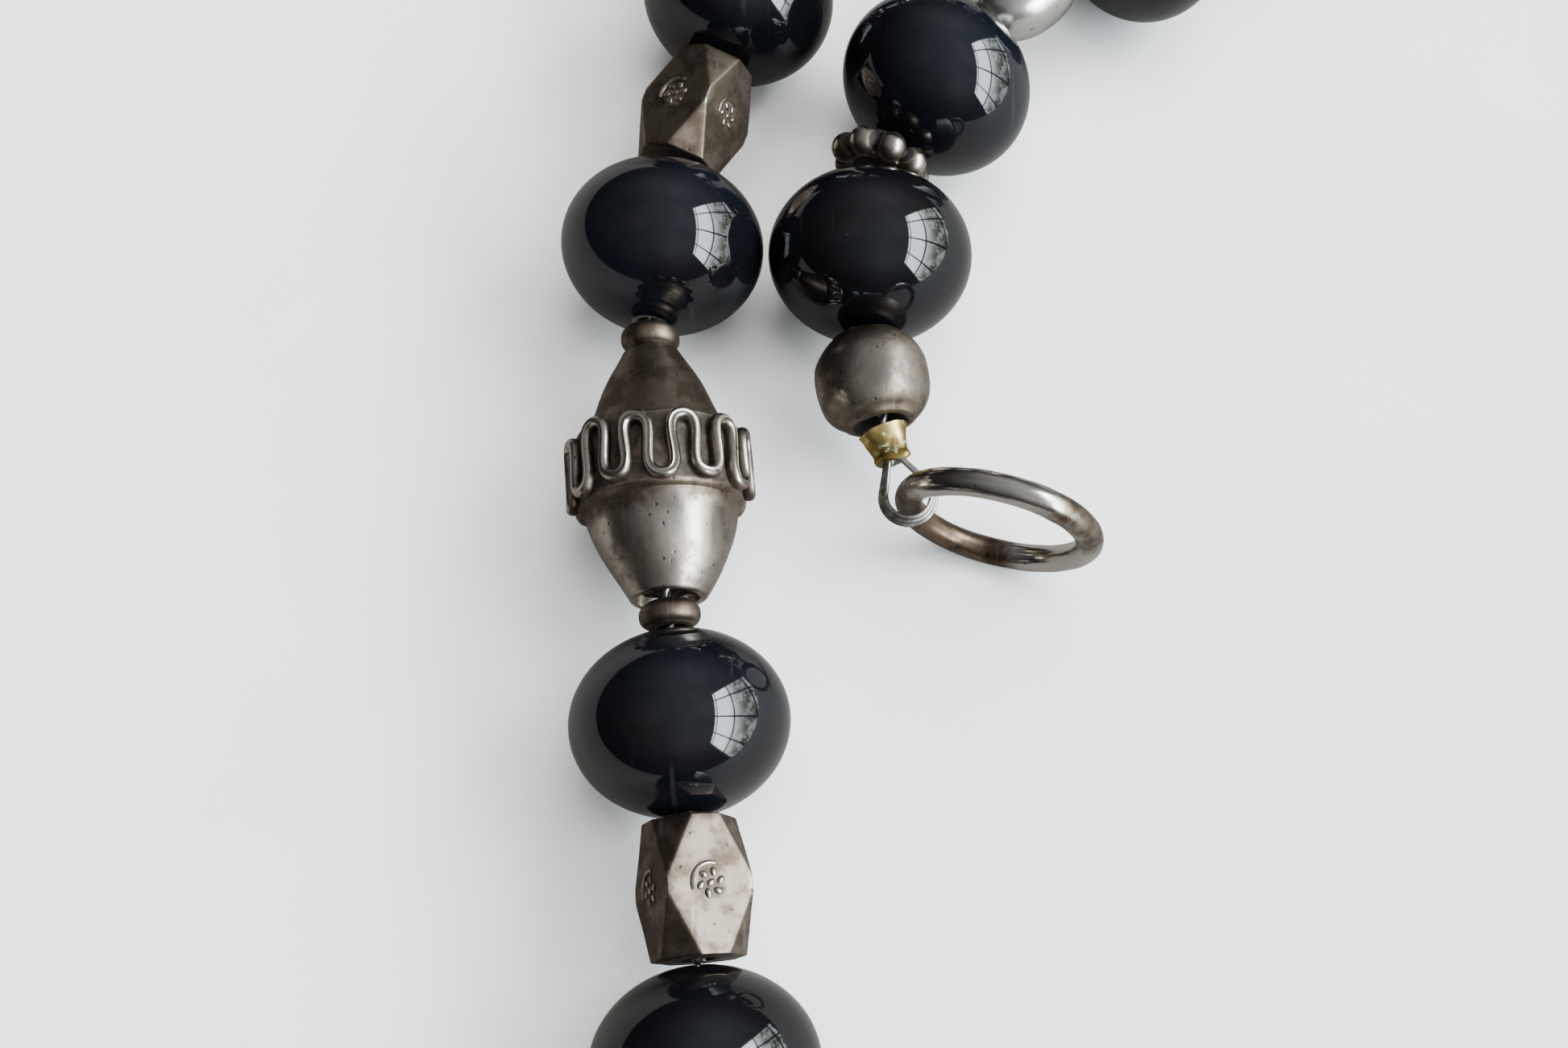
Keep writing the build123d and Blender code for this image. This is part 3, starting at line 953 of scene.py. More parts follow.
@dataclass
class FacetedBeads:
    """Square bars with cut corners and a stamped flower on each long face."""

    width: float = 5.6
    length: float = 8.4
    end_cut: float = 1.9
    side_cut: float = 3.8
    bore_radius: float = 0.9
    edge: float = 0.11
    petal_circle: float = 0.66
    petal_radius: float = 0.25
    petals: int = 6
    rim_arc: tuple[int, int] = (-105, 16)
    rim_circle: float = 1.2
    rim_radius: float = 0.14
    rolls: tuple[float, ...] = (12.0, -20.0, 28.0, -24.0)

    def body(self) -> bpy.types.Object:
        """Cut the corners off a box and ease the edges.

        Returns:
            The piece, its bore on Z and its middle at the origin.
        """
        to_object_mode()
        bpy.ops.mesh.primitive_cube_add(size=1.0)
        piece = bpy.context.object
        piece.name = "faceted_pattern"
        piece.scale = (self.width * MM, self.width * MM, self.length * MM)
        make_active(piece)
        bpy.ops.object.transform_apply(location=True, rotation=True, scale=True)
        for side_x in (-1, 1):
            for side_y in (-1, 1):
                for end in (-1, 1):
                    self._cut_corner(side_x, side_y, end)
        bpy.ops.object.mode_set(mode="OBJECT")
        tidy_mesh(piece)
        bevel = piece.modifiers.new("eased_edges", "BEVEL")
        bevel.width = self.edge * MM
        bevel.segments = 3
        bevel.limit_method = "ANGLE"
        bevel.angle_limit = math.radians(12)
        apply_modifiers(piece)
        return piece

    def _cut_corner(self, side_x: int, side_y: int, end: int) -> None:
        """Bisect the box by the sloping plane of one corner and fill the cut.

        Args:
            side_x: which side along X, -1 or 1.
            side_y: which side along Y, -1 or 1.
            end: which end of the bead, -1 or 1.
        """
        bpy.ops.object.mode_set(mode="EDIT")
        bpy.ops.mesh.select_all(action="SELECT")
        half = self.width / 2
        corner = Vector((side_x * half, side_y * half, end * (self.length / 2 - self.side_cut))) * MM
        normal = (side_x / self.end_cut, side_y / self.end_cut, end / self.side_cut)
        bpy.ops.mesh.bisect(plane_co=corner, plane_no=normal, use_fill=True, clear_outer=True)

    def _above_face(self, place: Vector, low: float, high: float) -> float:
        """Rise from 0 to 1 between two heights over the long faces."""
        half = self.width / 2
        return smooth_step((half + low) * MM, (half + high) * MM, max(abs(place.x), abs(place.y)))

    def drill(self, piece: bpy.types.Object) -> None:
        """Cut the bore with a Boolean and remove the cutter.

        Args:
            piece: the mesh object.
        """
        to_object_mode()
        bpy.ops.mesh.primitive_cylinder_add(vertices=40, radius=self.bore_radius * MM,
                                            depth=2 * self.length * MM)
        cutter = bpy.context.object
        boolean = piece.modifiers.new("bore", "BOOLEAN")
        boolean.operation = "DIFFERENCE"
        boolean.solver = "EXACT"
        boolean.object = cutter
        apply_modifiers(piece)
        bpy.data.objects.remove(cutter)

    def stamps(self) -> list[bpy.types.Object]:
        """Raise a flower of small domes inside a struck ring on each of the four long faces.

        Returns:
            The pieces.
        """
        made = []
        for face in range(4):
            out = Matrix.Translation((self.width / 2 * MM, 0, 0))
            turn = Matrix.Rotation(math.radians(90 * face), 4, "Z") @ out
            places = [(0.0, 0.0, 0.0)]
            for petal in range(self.petals):
                angle = math.radians(360 / self.petals * petal + 12)
                places.append((self.petal_circle * math.cos(angle),
                               self.petal_circle * math.sin(angle), angle))
            for across, along, angle in places:
                bpy.ops.mesh.primitive_uv_sphere_add(segments=14, ring_count=8, radius=self.petal_radius * MM)
                dome = bpy.context.object
                squeeze = Matrix.Rotation(angle + 0.5, 4, "X") @ Matrix.Diagonal((0.6, 1.25, 0.85, 1))
                dome.data.transform(turn @ Matrix.Translation((0, across * MM, along * MM)) @ squeeze)
                made.append(dome)
            rim = []
            for angle in range(*self.rim_arc, 8):
                turned = math.radians(angle)
                rim.append(turn @ (Vector((0.0, math.cos(turned), math.sin(turned))) * self.rim_circle * MM))
            made.append(tube("stamp_rim", rim, self.rim_radius, 8))
        return made

    def pattern(self) -> bpy.types.Object:
        """Make one faceted bead.

        Returns:
            The piece, its bore on Z and its middle at the origin.
        """
        piece = self.body()
        make_active(piece)
        bpy.ops.object.mode_set(mode="EDIT")
        bpy.ops.mesh.select_all(action="SELECT")
        bpy.ops.mesh.quads_convert_to_tris()
        bpy.ops.mesh.subdivide(number_cuts=3)
        bpy.ops.mesh.subdivide(number_cuts=1)
        bpy.ops.object.mode_set(mode="OBJECT")
        dent(piece, 0.035, 2.2, 4.0)
        self.drill(piece)
        piece = join([piece] + self.stamps(), "faceted_pattern")

        def recess(place: Vector) -> float:
            """Rise round the bore and between the stamped domes.

            Args:
                place: a place on the piece in metres.

            Returns:
                The mask's value.
            """
            hole = 1.0 - smooth_step(self.bore_radius * MM, 1.7 * MM, math.hypot(place.x, place.y))
            along = abs(place.z)
            flat = min(abs(place.x), abs(place.y))
            stamped = 1.0 - smooth_step(0.9 * MM, 1.35 * MM, math.hypot(flat, along))
            raised = self._above_face(place, 0.0, 0.06)
            return max(hole, 0.4, 0.7 * stamped * (1 - raised))

        def wear(place: Vector) -> float:
            """Rise on the domes and the edges between the facets.

            Args:
                place: a place on the piece in metres.

            Returns:
                The mask's value.
            """
            raised = self._above_face(place, 0.02, 0.1)
            corner = smooth_step(0.9, 0.98, (abs(place.x) + abs(place.y)) / (self.width * MM))
            return max(raised, 0.75 * corner)

        set_mask(piece, "recess", recess)
        set_mask(piece, "wear", wear)
        smooth(piece, 28)
        return piece

    def build(self, layout: Layout, finishes: Finishes) -> None:
        """Place every faceted bead at its own roll.

        Args:
            layout: every piece's place.
            finishes: the materials.
        """
        pattern = self.pattern()
        for roll, seat in zip(self.rolls, layout.threaded("silver_faceted_")):
            settle(pattern, seat, roll, finishes, Finish.AGED_SILVER)
        discard(pattern)


@dataclass
class Bicones:
    """Large double cones with a meander of grooved wire soldered round the middle."""

    length: float = 17.2
    narrow_end: float = 2.1
    wide_end: float = 2.6
    bore_radius: float = 0.9
    periods: int = 12
    band_half: float = 2.5
    band_radius: float = 5.45
    narrow_edge: float = 4.75
    wide_edge: float = 5.1
    meander_height: float = 3.95
    wire_width: float = 0.78
    wire_depth: float = 0.95
    loop_fullness: float = 0.72
    segments: int = 96

    def side(self, height: float) -> float:
        """Give the body's radius at a height along the bore, before dents.

        Args:
            height: the height in millimetres.

        Returns:
            The radius in millimetres.
        """
        half = self.length / 2
        edge, end, full = (self.narrow_edge, self.narrow_end - 0.15, 0.12) if height < 0 else (
            self.wide_edge, self.wide_end - 0.1, 0.42)
        share = min(1.0, max(0.0, (abs(height) - self.band_half) / (half - self.band_half)))
        cone = edge + (end - edge) * share + full * math.sin(math.pi * share)
        band = 1.0 - smooth_step(self.band_half - 0.08, self.band_half + 0.1, abs(height))
        return cone + (self.band_radius - cone) * band

    def body(self) -> bpy.types.Object:
        """Turn the body, with a thin wall at the open wide end.

        Returns:
            The piece, its bore on Z and its middle at the origin.
        """
        half = self.length / 2
        steps = 110
        outline = [(self.side(-half + self.length * step / steps), -half + self.length * step / steps)
                   for step in range(steps + 1)]
        wide = [(self.wide_end - 0.2, half + 0.04), (self.wide_end - 0.5, half),
                (self.wide_end - 0.62, half - 0.7), (self.bore_radius + 0.2, half - 0.9),
                (self.bore_radius, half - 1.1)]
        narrow = [(self.bore_radius, -half + 0.5), (self.bore_radius + 0.15, -half - 0.02),
                  (self.narrow_end - 0.2, -half - 0.03)]
        return lathe("bicone_pattern", outline + wide + [(self.bore_radius, 0.0)] + narrow, self.segments)

    def meander(self, share: float) -> Vector:
        """Give a point of the wire's centre line.

        Args:
            share: how far round the bead, from 0 to 1.

        Returns:
            The point in millimetres.
        """
        phase = 2 * math.pi * self.periods * share
        lean = 0.1 * math.sin(4 * 2 * math.pi * share) + 0.06
        swing = lean * math.sin(phase) - self.loop_fullness * math.sin(2 * phase)
        turn = 2 * math.pi * share + swing / self.periods
        wave = math.sin(phase)
        height = self.meander_height / 2 * wave * (1.14 - 0.14 * wave * wave)
        sway = 0.14 * math.sin(5 * 2 * math.pi * share) + 0.1 * math.sin(3 * 2 * math.pi * share + 1.0)
        radius = self.band_radius + self.wire_depth / 2 - 0.14
        return Vector((radius * math.cos(turn), radius * math.sin(turn), height + sway))

    def section(self) -> list[tuple[float, float]]:
        """Give the wire's section: a round back and a groove along its face, as width and depth.

        Returns:
            The points in millimetres.
        """
        points = []
        for step in range(16):
            angle = 2 * math.pi * step / 16
            across = self.wire_width / 2 * math.sin(angle)
            out = self.wire_depth / 2 * math.cos(angle)
            if out > 0:
                out -= 0.1 * self.wire_depth * math.exp(-(across / (0.13 * self.wire_width)) ** 2)
            points.append((across, out))
        return points

    def wire(self) -> bpy.types.Object:
        """Sweep the grooved section along the meander as one closed ring.

        Returns:
            The piece, its bore on Z and its middle at the origin.
        """
        count = self.periods * 44
        section = self.section()
        vertices = []
        for step in range(count):
            here = self.meander(step / count)
            ahead = self.meander((step + 0.5) / count)
            behind = self.meander((step - 0.5) / count)
            along = (ahead - behind).normalized()
            out = Vector((here.x, here.y, 0)).normalized()
            out = (out - along * out.dot(along)).normalized()
            across = along.cross(out)
            for width, depth in section:
                vertices.append((here + across * width + out * depth) * MM)
        sides = len(section)
        faces = []
        for step in range(count):
            following = (step + 1) % count
            for corner in range(sides):
                other = (corner + 1) % sides
                faces.append((step * sides + corner, step * sides + other, following * sides + other,
                              following * sides + corner))
        mesh = bpy.data.meshes.new("meander_wire")
        mesh.from_pydata(vertices, [], faces)
        wire = bpy.data.objects.new("meander_wire", mesh)
        bpy.context.scene.collection.objects.link(wire)
        tidy_mesh(wire, 0.0001)
        return wire

    def pattern(self) -> bpy.types.Object:
        """Make one bicone with its wire, and mark what the wire shelters.

        Returns:
            The piece, its bore on Z and its middle at the origin.
        """
        piece = self.body()
        dent(piece, 0.22, 3.4, 2.0)
        wire = self.wire()
        samples = [self.meander(step / 480) for step in range(480)]
        reach = self.meander_height / 2 + 0.9

        def sheltered(place: Vector) -> float:
            """Rise beside the wire and inside its loops.

            Args:
                place: a place on the piece in metres.

            Returns:
                The mask's value.
            """
            spot = place / MM
            if abs(spot.z) > reach + 0.8:
                ends = 1.0 - smooth_step(self.bore_radius, self.bore_radius + 0.9, math.hypot(spot.x, spot.y))
                return max(ends, 0.4 * smooth_step(3.4, 5.0, -spot.z))
            nearest = min((spot - sample).length for sample in samples)
            beside = 1.0 - smooth_step(0.7, 1.15, nearest)
            inside = 1.0 - smooth_step(self.band_half - 0.35, self.band_half + 0.3, abs(spot.z))
            return max(0.6 * beside, 0.8 * inside)

        set_mask(piece, "recess", sheltered)
        set_mask(piece, "wear", lambda place: 0.45 * smooth_step(2.4, 4.5, place.z / MM))

        def groove(place: Vector) -> float:
            """Rise at the wire's foot."""
            depth = math.hypot(place.x, place.y) / MM - self.band_radius
            return 0.8 * (1.0 - smooth_step(0.0, 0.45, depth))

        def crown(place: Vector) -> float:
            """Rise on the wire's outermost part."""
            return smooth_step(0.45, 0.8, math.hypot(place.x, place.y) / MM - self.band_radius)

        set_mask(wire, "recess", groove)
        set_mask(wire, "wear", crown)
        piece = join([piece, wire], "bicone_pattern")
        smooth(piece, 42)
        return piece

    def build(self, layout: Layout, finishes: Finishes) -> None:
        """Place every bicone.

        Args:
            layout: every piece's place.
            finishes: the materials.
        """
        pattern = self.pattern()
        for number, seat in enumerate(layout.threaded("silver_bicone_")):
            settle(pattern, seat, 8.0 + 50.0 * number, finishes, Finish.AGED_SILVER)
        discard(pattern)


@dataclass
class Daisies:
    """Spacers of soldered balls round a small core."""

    ball_diameter: float = 2.1
    circle_radius: float = 2.6
    balls: int = 8
    core_radius: float = 2.2
    core_length: float = 1.5
    bore_radius: float = 0.9
    voxel: float = 0.09

    def pattern(self) -> bpy.types.Object:
        """Fuse the balls and the bored core with solder fillets.

        Returns:
            The piece, its bore on Z and its middle at the origin.
        """
        parts = []
        to_object_mode()
        for number in range(self.balls):
            angle = 2 * math.pi * number / self.balls
            size = 1.0 + 0.03 * math.sin(5.0 * number)
            spot = (self.circle_radius * MM * math.cos(angle), self.circle_radius * MM * math.sin(angle), 0)
            bpy.ops.mesh.primitive_uv_sphere_add(segments=32, ring_count=20, location=spot,
                                                 radius=self.ball_diameter / 2 * size * MM)
            parts.append(bpy.context.object)
        half = self.core_length / 2
        core = lathe("daisy_core", [(self.core_radius, -half), (self.core_radius, half),
                                    (self.bore_radius, half), (self.bore_radius, -half)], 48)
        piece = join([core] + parts, "daisy_pattern")
        make_active(piece)
        bpy.ops.object.transform_apply(location=True, rotation=True, scale=True)
        remesh = piece.modifiers.new("solder", "REMESH")
        remesh.mode = "VOXEL"
        remesh.voxel_size = self.voxel * MM
        settle_mesh = piece.modifiers.new("flow", "SMOOTH")
        settle_mesh.factor = 0.5
        settle_mesh.iterations = 4
        apply_modifiers(piece)

        def recess(place: Vector) -> float:
            """Rise between the balls and on the core.

            Args:
                place: a place on the piece in metres.

            Returns:
                The mask's value.
            """
            spot = place / MM
            angle = math.atan2(spot.y, spot.x)
            number = round(angle / (2 * math.pi / self.balls))
            centre = 2 * math.pi / self.balls * number
            middle = Vector((self.circle_radius * math.cos(centre), self.circle_radius * math.sin(centre), 0))
            away = spot - middle
            crease = smooth_step(0.55, 0.95, abs(away.dot(Vector((-math.sin(centre), math.cos(centre), 0)))))
            inner = 1.0 - smooth_step(1.6, 2.3, math.hypot(spot.x, spot.y))
            return max(crease, inner)

        def wear(place: Vector) -> float:
            """Rise on the outer face of the balls."""
            return smooth_step(3.1, 3.6, math.hypot(place.x, place.y) / MM)

        set_mask(piece, "recess", recess)
        set_mask(piece, "wear", wear)
        smooth(piece, 60)
        return piece

    def build(self, layout: Layout, finishes: Finishes) -> None:
        """Place every daisy spacer.

        Args:
            layout: every piece's place.
            finishes: the materials.
        """
        pattern = self.pattern()
        for number, seat in enumerate(layout.threaded("silver_daisy_")):
            settle(pattern, seat, 14.0 + 19.0 * number, finishes, Finish.AGED_SILVER)
        discard(pattern)


# ------------------------------------------------------------------ wire, crimps and clasp

def tube(name: str, path: Sequence[Vector], radius: float, sides: int = 12,
         closed: bool = False) -> bpy.types.Object:
    """Sweep a round section along a path without twisting it.

    Args:
        name: the new object's name.
        path: the points in metres.
        radius: the tube's radius in millimetres.
        sides: how many sides the section has.
        closed: whether the path comes back to its start.

    Returns:
        The tube, with rounded ends when it is open.
    """
    count = len(path)
    vertices: list[Vector] = []
    faces: list[tuple[int, ...]] = []
    across: Optional[Vector] = None
    rows: list[tuple[Vector, Vector, Vector, float]] = []
    for step, here in enumerate(path):
        if closed:
            along = (path[(step + 1) % count] - path[step - 1]).normalized()
        else:
            along = (path[min(step + 1, count - 1)] - path[max(step - 1, 0)]).normalized()
        if across is None:
            across = along.orthogonal().normalized()
        across = (across - along * across.dot(along)).normalized()
        rows.append((here, across, along.cross(across), radius * MM))
    if not closed:
        first, second = path[0], path[1]
        last, before = path[-1], path[-2]
        start_out = (first - second).normalized()
        end_out = (last - before).normalized()
        _, first_across, first_up, _ = rows[0]
        _, last_across, last_up, _ = rows[-1]
        rows.insert(0, (first + start_out * radius * MM * 0.6, first_across, first_up, radius * MM * 0.7))
        rows.append((last + end_out * radius * MM * 0.6, last_across, last_up, radius * MM * 0.7))
    for here, one, other, size in rows:
        for side in range(sides):
            angle = 2 * math.pi * side / sides
            vertices.append(here + (one * math.cos(angle) + other * math.sin(angle)) * size)
    total = len(rows)
    for step in range(total if closed else total - 1):
        following = (step + 1) % total
        for side in range(sides):
            neighbour = (side + 1) % sides
            faces.append((step * sides + side, step * sides + neighbour, following * sides + neighbour,
                          following * sides + side))
    if not closed:
        faces.append(tuple(reversed(range(sides))))
        faces.append(tuple((total - 1) * sides + side for side in range(sides)))
    mesh = bpy.data.meshes.new(name)
    mesh.from_pydata(vertices, [], faces)
    piece = bpy.data.objects.new(name, mesh)
    bpy.context.scene.collection.objects.link(piece)
    tidy_mesh(piece, 0.0001)
    return piece


def resample(points: Sequence[Vector], spacing: float) -> list[Vector]:
    """Give points along a broken line at even spacing.

    Args:
        points: the corners in metres.
        spacing: the wanted spacing in millimetres.

    Returns:
        The points, the first and last corner among them.
    """
    lengths = [(after - before).length for before, after in zip(points[:-1], points[1:])]
    total = sum(lengths)
    count = max(2, round(total / (spacing * MM)))
    result = []
    for step in range(count + 1):
        want = total * step / count
        for before, after, length in zip(points[:-1], points[1:], lengths):
            if want <= length or after is points[-1]:
                result.append(before.lerp(after, min(1.0, want / length)))
                break
            want -= length
    return result


def twisted(name: str, line: Sequence[Vector], strand: float, orbit: float, pitch: float,
            phase: float = 0.0) -> bpy.types.Object:
    """Twist two strands round a line.

    Args:
        name: the new object's name.
        line: the line in metres, at even spacing.
        strand: radius of one strand in millimetres.
        orbit: how far a strand's middle is from the line.
        pitch: length of one turn.
        phase: angle in radians at the start.

    Returns:
        Both strands as one object.
    """
    made = []
    for start in (phase, phase + math.pi):
        across = (line[1] - line[0]).orthogonal().normalized()
        path = []
        travelled = 0.0
        for step, here in enumerate(line):
            along = (line[min(step + 1, len(line) - 1)] - line[max(step - 1, 0)]).normalized()
            across = (across - along * across.dot(along)).normalized()
            if step:
                travelled += (here - line[step - 1]).length
            angle = start + 2 * math.pi * travelled / (pitch * MM)
            out = across * math.cos(angle) + along.cross(across) * math.sin(angle)
            path.append(here + out * orbit * MM)
        made.append(tube(name, path, strand, 8))
    return join(made, name)


@dataclass
class WireSpans:
    """The twisted two-strand wire between the hinges, and its loops past the crimps."""

    strand: float = 0.22
    orbit: float = 0.215
    pitch: float = 2.6
    stand_back: float = 0.12
    spacing: float = 0.2
    loop_strand: float = 0.16
    ring_loop_radius: float = 1.48
    ring_loop_reach: float = 2.6
    bar_loop_radius: float = 1.16
    count: int = 16

    def span_line(self, layout: Layout, number: int) -> list[Vector]:
        """Give the corners of one span from its start to its end.

        Args:
            layout: every piece's place.
            number: the span, counted from the ring end.

        Returns:
            The corners in metres.
        """
        seats = layout.on_span(number)
        order = ["barrel_ring_end", "black", "rondelle_odd", "silver", "rondelle_even", "barrel_bar_end"]

        def rank(seat: Seat) -> int:
            """Give the seat's place in its span's order.

            Args:
                seat: the seat to rank.

            Returns:
                The place, from 0.
            """
            if seat.node.startswith("rondelle_"):
                return order.index("rondelle_odd" if int(seat.node[-1]) % 2 else "rondelle_even")
            for place, start in enumerate(order):
                if seat.node.startswith(start):
                    return place
            return len(order)

        seats.sort(key=rank)
        corners = []
        if number > 1:
            start = layout.flex_point(number - 1)
            corners.append(start + seats[0].axis * self.stand_back * MM)
        else:
            corners.append(LoopEnds(layout).ring_mouth)
        for before, after in zip(seats[:-1], seats[1:]):
            corners.append(self._meeting(before, after))
        if number < self.count:
            corners.append(layout.flex_point(number) - seats[-1].axis * self.stand_back * MM)
        else:
            corners.append(LoopEnds(layout).bar_mouth)
        return corners

    @staticmethod
    def _meeting(before: Seat, after: Seat) -> Vector:
        """Give the point where two neighbouring bores' lines come nearest.

        Args:
            before: the seat before the gap.
            after: the seat after it.

        Returns:
            The point in metres.
        """
        between = after.centre - before.centre
        lean = before.axis.dot(after.axis)
        spread = 1 - lean * lean
        if spread < 1e-6:
            return before.centre + between * 0.5
        along = (between.dot(before.axis) - between.dot(after.axis) * lean) / spread
        return before.centre + before.axis * along

    def build(self, layout: Layout, finishes: Finishes) -> None:
        """Build every span, the end ones with their loops.

        Args:
            layout: every piece's place.
            finishes: the materials.
        """
        ends = LoopEnds(layout)
        for number in range(1, self.count + 1):
            node = f"wire_span_{number:02d}"
            line = resample(self.span_line(layout, number), self.spacing)
            parts = [twisted(f"{node}_look", line, self.strand, self.orbit, self.pitch, 0.7 * number)]
            if number == 1:
                parts += self.loop(ends.ring_mouth, ends.ring_out, Vector((0, 0, 1)), self.ring_loop_reach,
                                   self.ring_loop_radius, 3)
            if number == self.count:
                parts += self.loop(ends.bar_mouth, ends.bar_down, ends.bar_across, ends.bar_reach / MM,
                                   self.bar_loop_radius, 2)
            piece = join(parts, f"{node}_look")
            set_mask(piece, "recess", lambda place: 0.25)
            set_mask(piece, "wear", lambda place: 0.15)
            smooth(piece, 60)
            finishes.dress(piece, Finish.STRING_WIRE)
            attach(piece, f"span_{number:02d}")
            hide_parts(node)
            LOG.info("%s: %d faces", piece.name, len(piece.data.polygons))

    def loop(self, mouth: Vector, out: Vector, normal: Vector, reach: float, radius: float,
             strands: int) -> list[bpy.types.Object]:
        """Bend several thin strands side by side from the crimp round the hanging piece and back.

        Args:
            mouth: where they leave the crimp.
            out: the way they leave.
            normal: the way across the loop's plane.
            reach: distance in millimetres from the mouth to the middle of the bend.
            radius: radius of the bend's middle line.
            strands: how many lie side by side.

        Returns:
            One object per strand.
        """
        side = normal.cross(out).normalized()
        made = []
        for strand in range(strands):
            offset = (strand - (strands - 1) / 2) * 0.29
            lower = strands - 1 - strand
            spread = radius + 0.17 * lower
            start = 0.42 + 0.12 * lower
            away = math.hypot(reach, start)
            touch = math.atan2(start, -reach) - math.acos(spread / away)
            points = [(-0.4, start - 0.06), (0.0, start)]
            arc_steps = 30
            for step in range(arc_steps + 1):
                angle = touch - 2 * touch * step / arc_steps
                points.append((reach + spread * math.cos(angle), spread * math.sin(angle)))
            points += [(0.0, -start), (-0.4, 0.06 - start)]
            path = []
            for along, across in points:
                stacked = offset * (0.55 + 0.45 * min(1.0, max(0.0, along)))
                path.append(mouth + (out * along + side * across + normal * stacked) * MM)
            made.append(tube(f"strand_{strand}", resample(path, 0.16), self.loop_strand, 9))
        return made


class LoopEnds:
    """Where the wire leaves each crimp, and how its loop lies."""

    crimp_length = 2.4
    droop = math.radians(50.0)
    least_reach = 0.8
    search_step = 0.02
    search_steps = 400

    def __init__(self, layout: Layout) -> None:
        """Work the two mouths out from the crimps' boxes and the clasp's pivots.

        Args:
            layout: every piece's place.
        """
        ring_pivot = Vector(layout.joints["clasp_ring"]["pos_m"])
        self.ring_crimp = self._middle("crimp_ring_end")
        self.ring_out = (ring_pivot - self.ring_crimp).normalized()
        self.ring_mouth = self.ring_crimp + self.ring_out * self.crimp_length / 2 * MM
        bar_pivot = Vector(layout.joints["toggle_bar"]["pos_m"])
        self.bar_crimp = self._middle("crimp_bar_end")
        self.bar_across = -Vector(layout.joints["toggle_bar"]["axis"]).normalized()
        forward = Vector((self.bar_across.y, -self.bar_across.x, 0)).normalized()
        self.bar_down = forward * math.cos(self.droop) - Vector((0, 0, math.sin(self.droop)))
        self.bar_reach = min((step * self.search_step * MM for step in range(self.search_steps)
                              if step * self.search_step > self.least_reach),
                             key=lambda reach: self._miss(bar_pivot - self.bar_down * reach))
        self.bar_mouth = bar_pivot - self.bar_down * self.bar_reach
        self.bar_axis = (self.bar_mouth - self.bar_crimp).normalized()
        LOG.info("bar mouth found within %.3f mm", self._miss(self.bar_mouth) / MM)

    @staticmethod
    def _middle(node: str) -> Vector:
        """Give the middle of a node's box."""
        low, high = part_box(node)
        return (Vector(low) + Vector(high)) / 2

    def _miss(self, mouth: Vector) -> float:
        """Give how far a point is from lying at the bar crimp's end."""
        return abs((mouth - self.bar_crimp).length - self.crimp_length / 2 * MM)


@dataclass
class Crimps:
    """Crushed brass tubes that hold the wire's ends."""

    length: float = 2.4
    width: float = 3.4
    thickness: float = 2.1
    mouth: float = 1.6
    wall: float = 0.28

    def pattern(self) -> bpy.types.Object:
        """Crush a tube flat in its middle, with flared ends and uneven rims.

        Returns:
            The piece, its bore on Z and its middle at the origin.
        """
        to_object_mode()
        half = self.length / 2
        outline = [(0.95, -half), (1.16, -half + 0.08), (1.2, -half * 0.72), (1.12, -half * 0.45),
                   (1.22, 0.0), (1.42, half * 0.55), (self.mouth, half)]
        inner = [(self.mouth - self.wall, half - 0.05), (0.75, half * 0.45), (0.6, 0.0), (0.6, -half * 0.6),
                 (0.72, -half + 0.03)]
        piece = lathe("crimp_pattern", outline + inner, 64)
        make_active(piece)
        bpy.ops.object.mode_set(mode="EDIT")
        bpy.ops.mesh.select_all(action="SELECT")
        bpy.ops.mesh.subdivide(number_cuts=1)
        bpy.ops.object.mode_set(mode="OBJECT")
        for vertex in piece.data.vertices:
            spot = vertex.co / MM
            angle = math.atan2(spot.y, spot.x)
            fold = 0.05 * math.cos(5 * angle + 0.6) * (1.0 - smooth_step(0.5, 1.2, abs(spot.z + 0.4)))
            rim = 0.12 * math.sin(2 * angle + 0.8) * smooth_step(0.6, 1.2, abs(spot.z))
            height = max(-half, min(half, spot.z - rim * (1 if spot.z > 0 else -1)))
            wide = self.width / (2 * self.mouth) * (1 - fold)
            thin = self.thickness / (2 * self.mouth) * (1 + 0.18 * smooth_step(0.2, 1.2, spot.z)) * (1 - fold)
            vertex.co = Vector((spot.x * wide, spot.y * thin, height)) * MM
        dent(piece, 0.05, 0.7, 9.0)

        def recess(place: Vector) -> float:
            """Rise inside the tube."""
            return 1.0 - smooth_step(0.7, 1.2, math.hypot(place.x * 0.8, place.y * 1.3) / MM)

        set_mask(piece, "recess", recess)
        set_mask(piece, "wear", lambda place: 0.2)
        smooth(piece, 45)
        return piece

    def build(self, layout: Layout, finishes: Finishes) -> None:
        """Place the two crimps on their spans.

        Args:
            layout: every piece's place.
            finishes: the materials.
        """
        ends = LoopEnds(layout)
        pattern = self.pattern()
        for seat in (Seat("crimp_ring_end", "span_01", ends.ring_crimp, -ends.ring_out),
                     Seat("crimp_bar_end", "span_16", ends.bar_crimp, ends.bar_axis)):
            settle(pattern, seat, 0.0, finishes, Finish.CRIMP_BRASS)
        discard(pattern)


